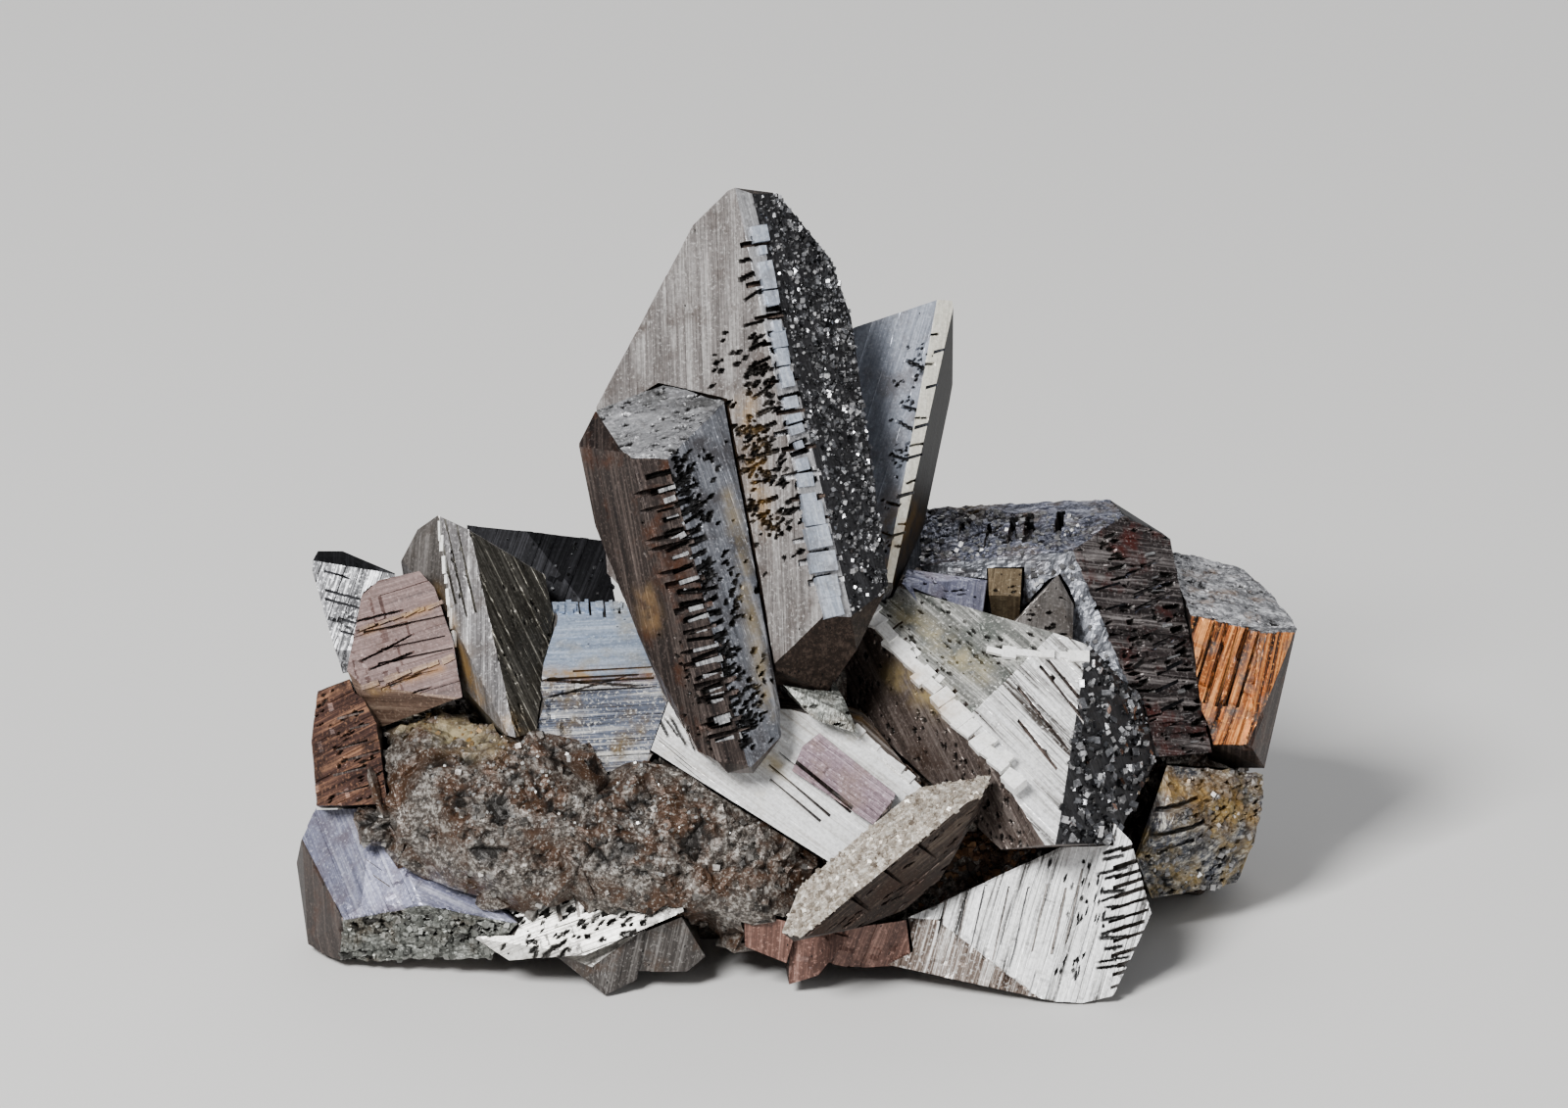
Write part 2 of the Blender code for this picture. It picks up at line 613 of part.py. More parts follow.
crystal(
    "rear_tablet", DUSTY_PINK,
    corners=[
        (-36, -3, -20), (-25, -0.5, -22), (-19, -6, -32), (-31, -9, -34),
        (-38, -24, -12), (-18, -26, -14), (-19, -28, -28), (-35, -28, -27),
    ],
    marks=[
        slots((-26, -10, -33), (-27, -24, -28), 5, (1, 0.1, 0.1), 10, 0.6, 0.7, 73,
              (-28, -14, -20)),
    ],
)

crystal(
    "rear_block", LAVENDER,
    corners=[
        (27, -7, -25), (40, -9, -24), (41, -16, -37), (28, -14, -39),
        (24, -28, -14), (43, -28, -16), (42, -34, -31), (27, -33, -33),
    ],
)

# ---------------------------------------------------------------------------------------------
# The matrix
# ---------------------------------------------------------------------------------------------
MATRIX_LUMPS = [
    # (x, y, z) of the middle, the half sizes along x, y and z, and how many grains stand on it
    ((-2, 7, 10), (42, 20, 15), 4),
    ((-27, -10, 15.5), (14, 11, 9.5), 16),
    ((-13, -13, 13.5), (14, 9.5, 8.8), 12),
    ((-3, -14.5, 11.5), (9, 8, 7.6), 6),
    ((-35, -5, 15), (9, 11, 9), 6),
    ((-36, 4, 11), (10, 14, 12.5), 3),
    ((-22, 10, 17), (16, 12, 13), 0),
    ((16, 1, 13), (15, 12, 11), 4),
    ((14, -7, 7), (18, 8, 8), 6),
    ((0, 9, 25), (15, 13, 14), 0),
    ((27, 12, 18), (15, 13, 13), 0),
    ((24, 14, 27), (14, 10, 8), 2),
    ((39, 12, 11), (9, 12, 12.5), 4),
    ((2, 20, 10), (34, 11, 13), 5),
]


def lump(middle, half_sizes, number):
    """A rough ball stretched to its half sizes, its points moved in or out on their rays."""
    bm = bmesh.new()
    bmesh.ops.create_icosphere(bm, subdivisions=3, radius=1.0)
    place_in_noise = Vector((number * 7.3, number * 3.1, 1.7))
    for vertex in bm.verts:
        swell = noise.noise(vertex.co * LUMP_WAVES + place_in_noise)
        crag = noise.noise(vertex.co * CRAG_WAVES + place_in_noise)
        reach = 1.0 + LUMP_SWELL * swell + CRAG_DEPTH * crag
        vertex.co = Vector(middle) + Vector(c * s * reach for c, s in zip(vertex.co, half_sizes))
    return bm


def grain(middle, half_sizes, rng):
    """An angular ore grain: the hull of a few points of a lump, so that its faces are flat."""
    ray = Vector((rng.gauss(0, 1), rng.gauss(0, 1), rng.gauss(0, 1))).normalized()
    spot = Vector(middle) + Vector(c * s * GRAIN_SEAT for c, s in zip(ray, half_sizes))
    size = rng.uniform(*GRAIN_SIZES)
    bm = bmesh.new()
    for _ in range(GRAIN_CORNERS):
        corner = Vector((rng.gauss(0, 1), rng.gauss(0, 1), rng.gauss(0, 1))).normalized()
        bm.verts.new(spot + corner * size)
    hull = bmesh.ops.convex_hull(bm, input=bm.verts[:])
    buried = [item for item in hull["geom_interior"] if isinstance(item, bmesh.types.BMVert)]
    bmesh.ops.delete(bm, geom=buried, context="VERTS")
    bmesh.ops.recalc_face_normals(bm, faces=bm.faces[:])
    return bm


def matrix(material):
    """The ore: rough lumps and angular grains grown into one, with room for the crystals."""
    rng = random.Random(81)
    lumps = []
    grains = []
    for middle, half_sizes, count in MATRIX_LUMPS:
        lumps.append(lump(middle, half_sizes, len(lumps)))
        grains.extend(grain(middle, half_sizes, rng) for _ in range(count))
    piece = as_object("matrix", lumps.pop(0))
    combine(piece, [as_cutter("growth", growth) for growth in lumps + grains], "UNION")
    combine(piece, neighbours, "DIFFERENCE")
    finish_piece(piece, material)


matrix(ORE_CRUST)

for helper in [item for item in bpy.data.objects if item.hide_render]:
    bpy.data.objects.remove(helper)
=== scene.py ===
"""Finishes of an arsenopyrite cluster: striated metallic crystals grown together on rough ore.

Each crystal is worked in millimetres, from its own solid in the frame. Its flat faces are split
into laths along their striations, pits and notches are sunk in them and ledges stand on them.
Grains are grown on the faces by Geometry Nodes, and the materials follow the striations.
"""

from collections import namedtuple
import math

import bmesh
import bpy
import numpy as np
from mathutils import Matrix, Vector, noise


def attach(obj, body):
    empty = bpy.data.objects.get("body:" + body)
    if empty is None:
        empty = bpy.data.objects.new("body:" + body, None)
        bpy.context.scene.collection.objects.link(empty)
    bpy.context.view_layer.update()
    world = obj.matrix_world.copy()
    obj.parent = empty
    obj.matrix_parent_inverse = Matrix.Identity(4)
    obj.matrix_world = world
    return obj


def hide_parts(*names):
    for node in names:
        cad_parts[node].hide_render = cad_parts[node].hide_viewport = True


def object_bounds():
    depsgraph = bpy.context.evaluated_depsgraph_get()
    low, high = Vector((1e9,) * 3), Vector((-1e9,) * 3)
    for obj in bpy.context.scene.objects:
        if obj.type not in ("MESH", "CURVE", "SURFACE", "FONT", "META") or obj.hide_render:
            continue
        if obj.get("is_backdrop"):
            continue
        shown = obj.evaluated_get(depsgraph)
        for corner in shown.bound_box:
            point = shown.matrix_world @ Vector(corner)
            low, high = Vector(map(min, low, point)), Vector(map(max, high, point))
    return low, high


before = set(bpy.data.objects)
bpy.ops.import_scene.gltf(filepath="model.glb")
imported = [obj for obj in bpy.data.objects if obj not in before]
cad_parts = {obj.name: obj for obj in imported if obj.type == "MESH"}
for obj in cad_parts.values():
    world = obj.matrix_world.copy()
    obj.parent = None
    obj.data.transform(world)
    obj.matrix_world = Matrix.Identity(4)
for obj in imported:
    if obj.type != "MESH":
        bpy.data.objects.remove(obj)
cad_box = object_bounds()

# The tall crystal: a flattened prism of arsenopyrite, grey with a pinkish tarnish on its broad
# face. Its front ridge is a row of pale ledges, and its right side is a crust of sparkling grains.
# It grew upwards from the ore, so its striations run along its length.
MILLIMETRE = 0.001
BOARD_LEAN = math.radians(20)
BOARD_HEIGHT = 40.0


def board(across, up, out):
    """A point in millimetres of the board that the cluster is laid out on, which leans back."""
    return np.array((
        across,
        up * math.sin(BOARD_LEAN) - out * math.cos(BOARD_LEAN),
        BOARD_HEIGHT + up * math.cos(BOARD_LEAN) + out * math.sin(BOARD_LEAN),
    ))


def board_way(across, up, out):
    """A direction of the same board, one unit long."""
    way = board(across, up, out) - board(0, 0, 0)
    return way / np.linalg.norm(way)


def closeness(points, start, end, reach, strength=1.0):
    """How near points are to a line across the board: strength on it, and fading over reach."""
    seen = np.stack((points[:, 0], points[:, 1] * math.sin(BOARD_LEAN)
                     + (points[:, 2] - BOARD_HEIGHT) * math.cos(BOARD_LEAN)), 1)
    line = np.subtract(end, start)
    share = np.clip((seen - start) @ line / max(line @ line, 1e-9), 0, 1)
    distance = np.linalg.norm(seen - start - share[:, None] * line, axis=1)
    return strength * np.exp(-(distance / reach) ** 2)


def laid_flat(way, normal):
    """The part of a direction that lies in a face with this normal, one unit long."""
    way = way - normal * (way @ normal)
    return way / np.linalg.norm(way)


def halve_long_edges(points, corners, tags, limit):
    """One pass over the triangles: every edge longer than its triangles' limit is halved."""
    ends = np.sort(np.stack((corners, np.roll(corners, -1, 1)), 2), 2).reshape(-1, 2)
    code, which = np.unique(ends[:, 0] * len(points) + ends[:, 1], return_inverse=True)
    edges = np.stack((code // len(points), code % len(points)), 1)
    allowed = np.full(len(edges), np.inf)
    np.minimum.at(allowed, which.ravel(), np.repeat(limit, 3))
    halved = np.linalg.norm(points[edges[:, 0]] - points[edges[:, 1]], axis=1) > allowed
    if not halved.any():
        return points, corners, tags, False
    middle = np.full(len(edges), -1)
    middle[halved] = len(points) + np.arange(halved.sum())
    points = np.vstack((points, points[edges[halved]].mean(1)))
    mids = middle[which.reshape(-1, 3)]
    count = (mids >= 0).sum(1)
    made = [(corners[count == 0], tags[count == 0])]

    def keep(chosen, *triangles):
        made.extend((np.stack(triangle, 1), tags[chosen]) for triangle in triangles)

    for first in range(3):
        order = [(first + step) % 3 for step in range(3)]
        one = (count == 1) & (mids[:, first] >= 0)
        (a, b, c), m = corners[one][:, order].T, mids[one, first]
        keep(one, (a, m, c), (m, b, c))
        two = (count == 2) & (mids[:, order[2]] < 0)
        (a, b, c), (m, n, _) = corners[two][:, order].T, mids[two][:, order].T
        keep(two, (m, b, n), (a, m, n), (a, n, c))
    every = count == 3
    (a, b, c), (m, n, k) = corners[every].T, mids[every].T
    keep(every, (a, m, k), (m, b, n), (k, n, c), (m, n, k))
    return (points, np.vstack([triangles for triangles, _ in made]),
            np.concatenate([tag for _, tag in made]), True)


# Faces: level neighbours make one, which belongs to the side that it turns to most.
SAME_FACE = math.cos(math.radians(3))
SAME_SIDE = math.cos(math.radians(32))
SMALLEST_FACE = 1.5
REST_EDGE = 1.6
# Laths: how uneven their widths are, the slope between two of them, and the most breaks in one.
LATH_UNEVEN = 0.7
STEP_WALL = 0.04
MOST_BREAKS = 7
# Pits: the share of one that its wall takes, how far round it the mesh is fine and how fine, how
# much they turn and vary, and how big the crowds are that they stand in.
PIT_WALL = 0.35
PIT_RIM = 0.2
FINEST_EDGE = 0.18
PIT_TURN = 0.2
PIT_UNEVEN = 0.55
CROWD_SIZE = 2.2
# Lumps on rough faces, and the clefts between them.
CLEFTS_PER_LUMP = 2.2
CLEFT_WIDTH = 0.3
# The step from one face to the next on the striation map, and the points worked at a time.
MAP_STEP = 37.0
BATCH = 4000
BOX = np.array([(x, y, z) for x in (-0.5, 0.5) for y in (-0.5, 0.5) for z in (-0.5, 0.5)])
BOX_FACES = np.array(((0, 1, 3), (0, 3, 2), (4, 6, 7), (4, 7, 5), (0, 4, 5), (0, 5, 1),
                      (2, 3, 7), (2, 7, 6), (0, 2, 6), (0, 6, 4), (1, 5, 7), (1, 7, 3)))

Pit = namedtuple("Pit", "side spot along across length width depth square")
Ledge = namedtuple("Ledge", "side spot edges paint")
Bed = namedtuple("Bed", "names paint per_square smallest largest seed near long")


class Crystal:
    """A crystal worked in millimetres: its flat faces by name, and what is done to each."""

    def __init__(self, node, faces, rest):
        """faces gives each name its way on the board, its striations' way, finish and longest edge."""
        self.node = node
        self.names = [*faces, "rest"]
        looks = [*faces.values(), ((0, 0, 1), (0, 1, 0), rest, REST_EDGE)]
        self.normals = np.array([board_way(*look[0]) for look in looks])
        along = np.array([board_way(*look[1]) for look in looks])
        along -= self.normals * (along * self.normals).sum(1, keepdims=True)
        self.along = along / np.linalg.norm(along, axis=1, keepdims=True)
        self.across = np.cross(self.normals, self.along)
        self.finishes = [look[2] for look in looks]
        self.longest_edge = np.array([look[3] for look in looks])
        self.laths = []
        self.pits = []
        self.ledges = []
        self.beds = []
        self.stains = []
        self.rough = {}
        self.bm = bmesh.new()
        self.bm.from_mesh(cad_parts[node].data)
        bmesh.ops.remove_doubles(self.bm, verts=self.bm.verts[:], dist=1e-6)
        bmesh.ops.scale(self.bm, verts=self.bm.verts[:], vec=(1 / MILLIMETRE,) * 3)
        bmesh.ops.dissolve_limit(self.bm, angle_limit=math.radians(1), verts=self.bm.verts[:],
                                 edges=self.bm.edges[:])
        self.side = self.bm.faces.layers.int.new("side")
        self.sort_faces()

    def sort_faces(self):
        """Numbers every polygon with its side: level neighbours make one flat face."""
        self.bm.normal_update()
        waiting = dict.fromkeys(self.bm.faces)
        while waiting:
            seed = next(iter(waiting))
            del waiting[seed]
            flat = [seed]
            for face in flat:
                for edge in face.edges:
                    for other in edge.link_faces:
                        if other in waiting and other.normal.dot(seed.normal) > SAME_FACE:
                            del waiting[other]
                            flat.append(other)
            facing = self.normals[:-1] @ np.array(seed.normal)
            side = len(self.names) - 1
            if sum(face.calc_area() for face in flat) > SMALLEST_FACE and facing.max() > SAME_SIDE:
                side = int(facing.argmax())
            for face in flat:
                face[self.side] = side

    def polygons(self, name):
        """A face's polygons, and the number of its side."""
        side = self.names.index(name)
        return [face for face in self.bm.faces if face[self.side] == side], side

    def slice(self, side, way, places):
        """Cuts a face's polygons by level planes across a direction, at these distances along it."""
        way = Vector(way)
        for place in places:
            parts = set()
            for face in self.bm.faces:
                if face[self.side] == side:
                    reach = [way.dot(vertex.co) - place for vertex in face.verts]
                    if min(reach) < 0 < max(reach):
                        parts.update((face, *face.edges, *face.verts))
            bmesh.ops.bisect_plane(self.bm, geom=list(parts), dist=1e-5, plane_co=way * place,
                                   plane_no=way)

    def stack_laths(self, name, width, depth, seed, breaks=2):
        """Splits a face along its striations into narrow laths, broken across and unevenly sunk."""
        rng = np.random.default_rng(seed)
        flat, side = self.polygons(name)
        if not flat:
            return
        spots = np.array([vertex.co for face in flat for vertex in face.verts])
        reach = spots @ self.across[side]
        run = spots @ self.along[side]
        edges = [reach.min() - width]
        while edges[-1] < reach.max():
            edges.append(edges[-1] + width * rng.uniform(1 - LATH_UNEVEN, 1 + LATH_UNEVEN))
        edges = np.array(edges)
        levels = -depth * rng.uniform(0, 1, (len(edges) + 1, MOST_BREAKS + 1)) ** 1.5
        places = np.sort(rng.uniform(run.min(), run.max(), (len(edges) + 1, MOST_BREAKS)), 1)
        places[:, breaks:] = np.inf
        self.slice(side, self.along[side], np.arange(run.min(), run.max(), 2 * width))
        walls = np.sort(np.concatenate((edges - STEP_WALL, edges + STEP_WALL)))
        self.slice(side, self.across[side], walls)
        self.laths.append((side, edges, levels, places))

    def etch(self, name, along, per_square, length, width, depth, seed, near=None):
        """Sinks angular pits in a face, at so many to the square millimetre, or near a line."""
        rng = np.random.default_rng(seed)
        flat, side = self.polygons(name)
        if not flat:
            return
        triangles = np.array([(face.verts[0].co, b.co, c.co) for face in flat
                              for b, c in zip(face.verts[1:], face.verts[2:])])
        a, b, c = triangles[:, 0], triangles[:, 1], triangles[:, 2]
        area = np.linalg.norm(np.cross(b - a, c - a), axis=1) / 2
        count = int(area.sum() * per_square)
        chosen = rng.choice(len(area), count, p=area / area.sum())
        u, v = rng.uniform(0, 1, (2, count, 1))
        u, v = np.where(u + v > 1, 1 - u, u), np.where(u + v > 1, 1 - v, v)
        spots = a[chosen] + u * (b - a)[chosen] + v * (c - a)[chosen]
        crowd = np.array([0.5 + 1.8 * noise.noise(Vector(spot) / CROWD_SIZE) for spot in spots])
        chance = closeness(spots, *near) if near else 1.0
        along = laid_flat(board_way(*along), self.normals[side])
        across = np.cross(self.normals[side], along)
        for spot in spots[rng.uniform(0, 1, count) < crowd * chance]:
            turn = rng.uniform(-PIT_TURN, PIT_TURN)
            size = rng.uniform(1 - PIT_UNEVEN, 1 + PIT_UNEVEN, 3)
            self.pits.append(Pit(side, spot, along * math.cos(turn) + across * math.sin(turn),
                                 across * math.cos(turn) - along * math.sin(turn),
                                 length * size[0] / 2, width * size[1] / 2, depth * size[2], False))

    def place_row(self, name, start, end, count, along, shake, wobble, rng):
        """A row on a face between two places on the board: spots, directions and sizes, all shaken."""
        flat, side = self.polygons(name)
        normal = self.normals[side]
        level = np.mean([face.calc_center_median() for face in flat], 0) @ normal
        toward = board_way(0, 0, 1)
        for step in range(count):
            share = (step + rng.uniform(-wobble, wobble)) / max(count - 1, 1)
            spot = board(*(np.array(start) + share * np.subtract(end, start)), 0)
            spot += toward * (level - spot @ normal) / (toward @ normal)
            way = laid_flat(board_way(*along) + rng.normal(0, shake, 3), normal)
            yield side, spot, way, np.cross(normal, way), rng.uniform(1 - wobble, 1 + wobble, 3)

    def notch(self, name, start, end, count, length, width, depth, seed, along=(1, 0.15, 0),
              wobble=0.35):
        """Sinks a row of square-ended notches between two places on the board."""
        rng = np.random.default_rng(seed)
        row = self.place_row(name, start, end, count, along, 0.1, wobble, rng)
        for side, spot, way, across, size in row:
            self.pits.append(Pit(side, spot, way, across, length * size[0] / 2, width * size[1] / 2,
                                 depth * size[2], True))

    def ledge(self, name, start, end, count, length, width, height, paint, seed, along=None,
              wobble=0.45):
        """Builds a row of small blocks on a face between two places on the board."""
        rng = np.random.default_rng(seed)
        along = along or (*np.subtract(end, start), 0)
        row = self.place_row(name, start, end, count, along, 0.07, wobble, rng)
        for side, spot, way, across, size in row:
            edges = np.array((way * length * size[0], across * width * size[1],
                              self.normals[side] * height * size[2]))
            self.ledges.append(Ledge(side, spot, edges, paint))

    def grow(self, names, paint, per_square, smallest, largest, seed, near=None, long=1.0):
        """Lets angular grains grow on faces, at so many to the square millimetre, or near a line."""
        self.beds.append(Bed(names, paint, per_square, smallest, largest, seed, near, long))

    def roughen(self, names, lump, height):
        """Makes faces rough, in lumps of about this size that stand out to about this height."""
        self.rough.update(dict.fromkeys(names, (lump, height)))

    def stain(self, start, end, reach, strength):
        """Stains the crystal near a line between two places on the board."""
        self.stains.append((start, end, reach, strength))

    def pit_shares(self, side, points):
        """Points by pits of a face: 1 at a pit's middle, 0 on its rim and below 0 outside it."""
        pits = Pit(*(np.array(part) for part in zip(*[pit for pit in self.pits if pit.side == side])))
        x = np.abs(points @ pits.along.T - (pits.spot * pits.along).sum(1)) / pits.length
        y = np.abs(points @ pits.across.T - (pits.spot * pits.across).sum(1)) / pits.width
        return 1 - np.where(pits.square, np.maximum(x, y), x + y)

    def solid(self):
        """The triangles of the worked crystal: points, corners and sides, with fine ones at pits."""
        bmesh.ops.triangulate(self.bm, faces=self.bm.faces[:], quad_method="BEAUTY",
                              ngon_method="BEAUTY")
        self.bm.verts.index_update()
        points = np.array([vertex.co for vertex in self.bm.verts])
        corners = np.array([[vertex.index for vertex in face.verts] for face in self.bm.faces])
        tags = np.array([(face[self.side], 1) for face in self.bm.faces])
        self.bm.free()
        going = True
        while going:
            limit = self.longest_edge[tags[:, 0]]
            centres = points[corners].mean(1)
            size = np.linalg.norm(points[corners] - centres[:, None], axis=2).max(1)
            for side in {pit.side for pit in self.pits}:
                width = np.array([pit.width for pit in self.pits if pit.side == side])
                near = np.flatnonzero((tags[:, 0] == side) & (tags[:, 1] > 0))
                for some in np.array_split(near, len(near) // BATCH + 1):
                    slack = PIT_RIM + 0.7 * size[some, None] / width
                    close = self.pit_shares(side, centres[some]) > -slack
                    fine = np.where(close, np.maximum(width, FINEST_EDGE), np.inf).min(1)
                    limit[some] = np.minimum(limit[some], fine)
                    tags[some[~close.any(1)], 1] = 0
            points, corners, tags, going = halve_long_edges(points, corners, tags, limit)
        return points, corners, tags[:, 0]

    def sink(self, points, corners, side):
        """Sinks laths and pits: the points' new places, and how deep in a pit each one is."""
        moved = points.copy()
        depth = np.zeros(len(points))
        for number, normal in enumerate(self.normals):
            mine = np.unique(corners[side == number])
            place = points[mine]
            height = np.zeros(len(mine))
            for lath_side, edges, levels, breaks in self.laths:
                if lath_side == number:
                    row = np.searchsorted(edges, place @ self.across[number])
                    part = ((place @ self.along[number])[:, None] > breaks[row]).sum(1)
                    height += levels[row, part]
            sunk = np.zeros(len(mine))
            deep = np.array([pit.depth for pit in self.pits if pit.side == number])
            if len(deep):
                for some in np.array_split(np.arange(len(mine)), len(mine) // BATCH + 1):
                    share = np.clip(self.pit_shares(number, place[some]) / PIT_WALL, 0, 1)
                    sunk[some] = (share * deep).max(1)
            depth[mine] = np.maximum(depth[mine], sunk)
            moved[mine] += (height - sunk)[:, None] * normal
        return moved, depth

    def lumps(self, points, corners, side):
        """How far each point of the rough faces stands out, in lumps parted by clefts."""
        out = np.zeros(len(points))
        for name, (lump, height) in self.rough.items():
            for point in np.unique(corners[side == self.names.index(name)]):
                spot = Vector(points[point]) / lump
                near, next_near = noise.voronoi(spot * CLEFTS_PER_LUMP)[0][:2]
                cleft = min(next_near - near, CLEFT_WIDTH) - 0.2
                out[point] = height * (0.7 * noise.fractal(spot, 0.9, 2.1, 4) + 1.3 * cleft)
        return out

    def finish(self, slot):
        """Makes the mesh, with its striation map and finishes, and fixes the piece in the frame."""
        points, corners, side = self.solid()
        moved, depth = self.sink(points, corners, side)
        paints = list(dict.fromkeys(self.finishes + [ledge.paint for ledge in self.ledges]))
        look = np.array([paints.index(finish) for finish in self.finishes])[side]
        # The ledges are loose blocks, half sunk in their face.
        for ledge in self.ledges:
            block = ledge.spot + BOX @ ledge.edges
            corners = np.vstack((corners, BOX_FACES + len(points)))
            points = np.vstack((points, block))
            moved = np.vstack((moved, block))
            depth = np.concatenate((depth, np.zeros(len(BOX))))
            side = np.concatenate((side, np.full(len(BOX_FACES), ledge.side)))
            look = np.concatenate((look, np.full(len(BOX_FACES), paints.index(ledge.paint))))
        mesh = bpy.data.meshes.new(self.node + "_dressed")
        mesh.from_pydata(moved * MILLIMETRE, [], corners)
        # The lumps stand out along the mesh's own normals, and never below the floor.
        if self.rough:
            out = self.lumps(points, corners, side)
            ways = np.empty(len(points) * 3)
            mesh.vertex_normals.foreach_get("vector", ways)
            moved += out[:, None] * ways.reshape(-1, 3)
            moved[:, 2] = np.maximum(moved[:, 2], 0)
            mesh.vertices.foreach_set("co", (moved * MILLIMETRE).ravel())
            # The clefts between lumps count as depth, so they take the pits' painted shade too.
            depth = np.maximum(depth, -0.5 * out)
        for paint in paints:
            mesh.materials.append(paint)
        mesh.polygons.foreach_set("material_index", look)
        # The map runs along the striations, in millimetres, with its own stretch for each face.
        place = points[corners.ravel()]
        of_loop = np.repeat(side, 3)
        uv = np.stack(((place * self.along[of_loop]).sum(1), (place * self.across[of_loop]).sum(1)), 1)
        uv += of_loop[:, None] * MAP_STEP
        mesh.uv_layers.new(name="striations").data.foreach_set("uv", uv.ravel())
        stain = np.zeros(len(points))
        for line in self.stains:
            stain = np.maximum(stain, closeness(points, *line))
        mesh.attributes.new("stain", "FLOAT", "POINT").data.foreach_set("value", stain)
        mesh.attributes.new("depth", "FLOAT", "POINT").data.foreach_set("value", depth)
        mesh.update()
        piece = bpy.data.objects.new(mesh.name, mesh)
        bpy.context.scene.collection.objects.link(piece)
        # Every bed is marked before the first grains grow, so that none grow on other grains.
        for number, bed in enumerate(self.beds):
            share = np.isin(side, [self.names.index(name) for name in bed.names]).astype(float)
            share *= points[corners][:, :, 2].min(1) > bed.largest
            if bed.near:
                share *= closeness(points[corners].mean(1), *bed.near)
            mesh.attributes.new(f"bed {number}", "FLOAT", "FACE").data.foreach_set("value", share)
        for number, bed in enumerate(self.beds):
            grow_on(piece, {"Grain": bed.paint, "Bed": f"bed {number}", "Long": bed.long,
                            "Seed": bed.seed, "Per square": bed.per_square / MILLIMETRE ** 2,
                            "Smallest": bed.smallest * MILLIMETRE,
                            "Largest": bed.largest * MILLIMETRE})
        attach(piece, "root")
        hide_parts(self.node)


def plug(tree, socket, value):
    """Gives a socket a link or a value; three numbers given to a colour get a full alpha."""
    if isinstance(value, bpy.types.NodeSocket):
        tree.links.new(value, socket)
    elif isinstance(value, tuple) and socket.type == "RGBA":
        socket.default_value = (*value, 1.0)
    else:
        socket.default_value = value


def wire(tree, kind, settings=None, **sockets):
    """Adds a node. A socket is named by its label with _ for a space, and takes a value or a link."""
    node = tree.nodes.new(kind)
    for name, value in (settings or {}).items():
        setattr(node, name, value)
    for name, value in sockets.items():
        label = name.replace("_", " ")
        plug(tree, next(s for s in node.inputs if s.name == label and s.enabled), value)
    return node


def out_of(node, label=None):
    """A node's output by its label, or its first one in use."""
    return next(s for s in node.outputs if s.enabled and label in (None, s.name))


def math_node(tree, operation, one, other):
    """The result of a sum or a product of two values or links."""
    node = wire(tree, "ShaderNodeMath", {"operation": operation})
    for socket, value in zip(node.inputs, (one, other)):
        plug(tree, socket, value)
    return node.outputs[0]


ANY_TURN = (6.3, 6.3, 6.3)
SLIMMEST_GRAIN = (0.6, 0.6, 0.6)
FULL_GRAIN = (1.0, 1.0, 1.0)


def grain_tree():
    """Scatters angular blocks over the faces marked as a bed: turned at random, half sunk in it."""
    tree = bpy.data.node_groups.new("grains", "GeometryNodeTree")
    for name, kind in (("Geometry", "Geometry"), ("Grain", "Material"), ("Bed", "String"),
                       ("Per square", "Float"), ("Smallest", "Float"), ("Largest", "Float"),
                       ("Long", "Float"), ("Seed", "Int")):
        tree.interface.new_socket(name, in_out="INPUT", socket_type="NodeSocket" + kind)
    tree.interface.new_socket("Geometry", in_out="OUTPUT", socket_type="NodeSocketGeometry")
    given = wire(tree, "NodeGroupInput").outputs
    bed = wire(tree, "GeometryNodeInputNamedAttribute", Name=given["Bed"])
    density = math_node(tree, "MULTIPLY", given["Per square"], out_of(bed, "Attribute"))
    spots = wire(tree, "GeometryNodeDistributePointsOnFaces", Mesh=given["Geometry"],
                 Density=density, Seed=given["Seed"])
    turn = wire(tree, "FunctionNodeRandomValue", {"data_type": "FLOAT_VECTOR"},
                Max=ANY_TURN, Seed=given["Seed"])
    size = wire(tree, "FunctionNodeRandomValue", {"data_type": "FLOAT"}, Min=given["Smallest"],
                Max=given["Largest"], Seed=math_node(tree, "ADD", given["Seed"], 7))
    shape = wire(tree, "FunctionNodeRandomValue", {"data_type": "FLOAT_VECTOR"},
                 Min=SLIMMEST_GRAIN, Max=FULL_GRAIN, Seed=given["Seed"])
    stretch = wire(tree, "ShaderNodeCombineXYZ", X=1.0, Y=1.0, Z=given["Long"])
    shape = wire(tree, "ShaderNodeVectorMath", {"operation": "MULTIPLY"}, Vector=out_of(shape))
    tree.links.new(stretch.outputs[0], shape.inputs[1])
    scale = wire(tree, "ShaderNodeVectorMath", {"operation": "SCALE"}, Vector=shape.outputs[0],
                 Scale=out_of(size))
    block = wire(tree, "GeometryNodeMeshCube", Size=FULL_GRAIN)
    copies = wire(tree, "GeometryNodeInstanceOnPoints", Points=spots.outputs["Points"],
                  Instance=block.outputs["Mesh"], Rotation=out_of(turn), Scale=scale.outputs[0])
    solid = wire(tree, "GeometryNodeRealizeInstances", Geometry=copies.outputs[0])
    painted = wire(tree, "GeometryNodeSetMaterial", Geometry=solid.outputs[0],
                   Material=given["Grain"])
    joined = wire(tree, "GeometryNodeJoinGeometry")
    tree.links.new(painted.outputs[0], joined.inputs[0])
    tree.links.new(given["Geometry"], joined.inputs[0])
    end = wire(tree, "NodeGroupOutput")
    tree.links.new(joined.outputs[0], end.inputs[0])
    return tree


GRAINS = grain_tree()


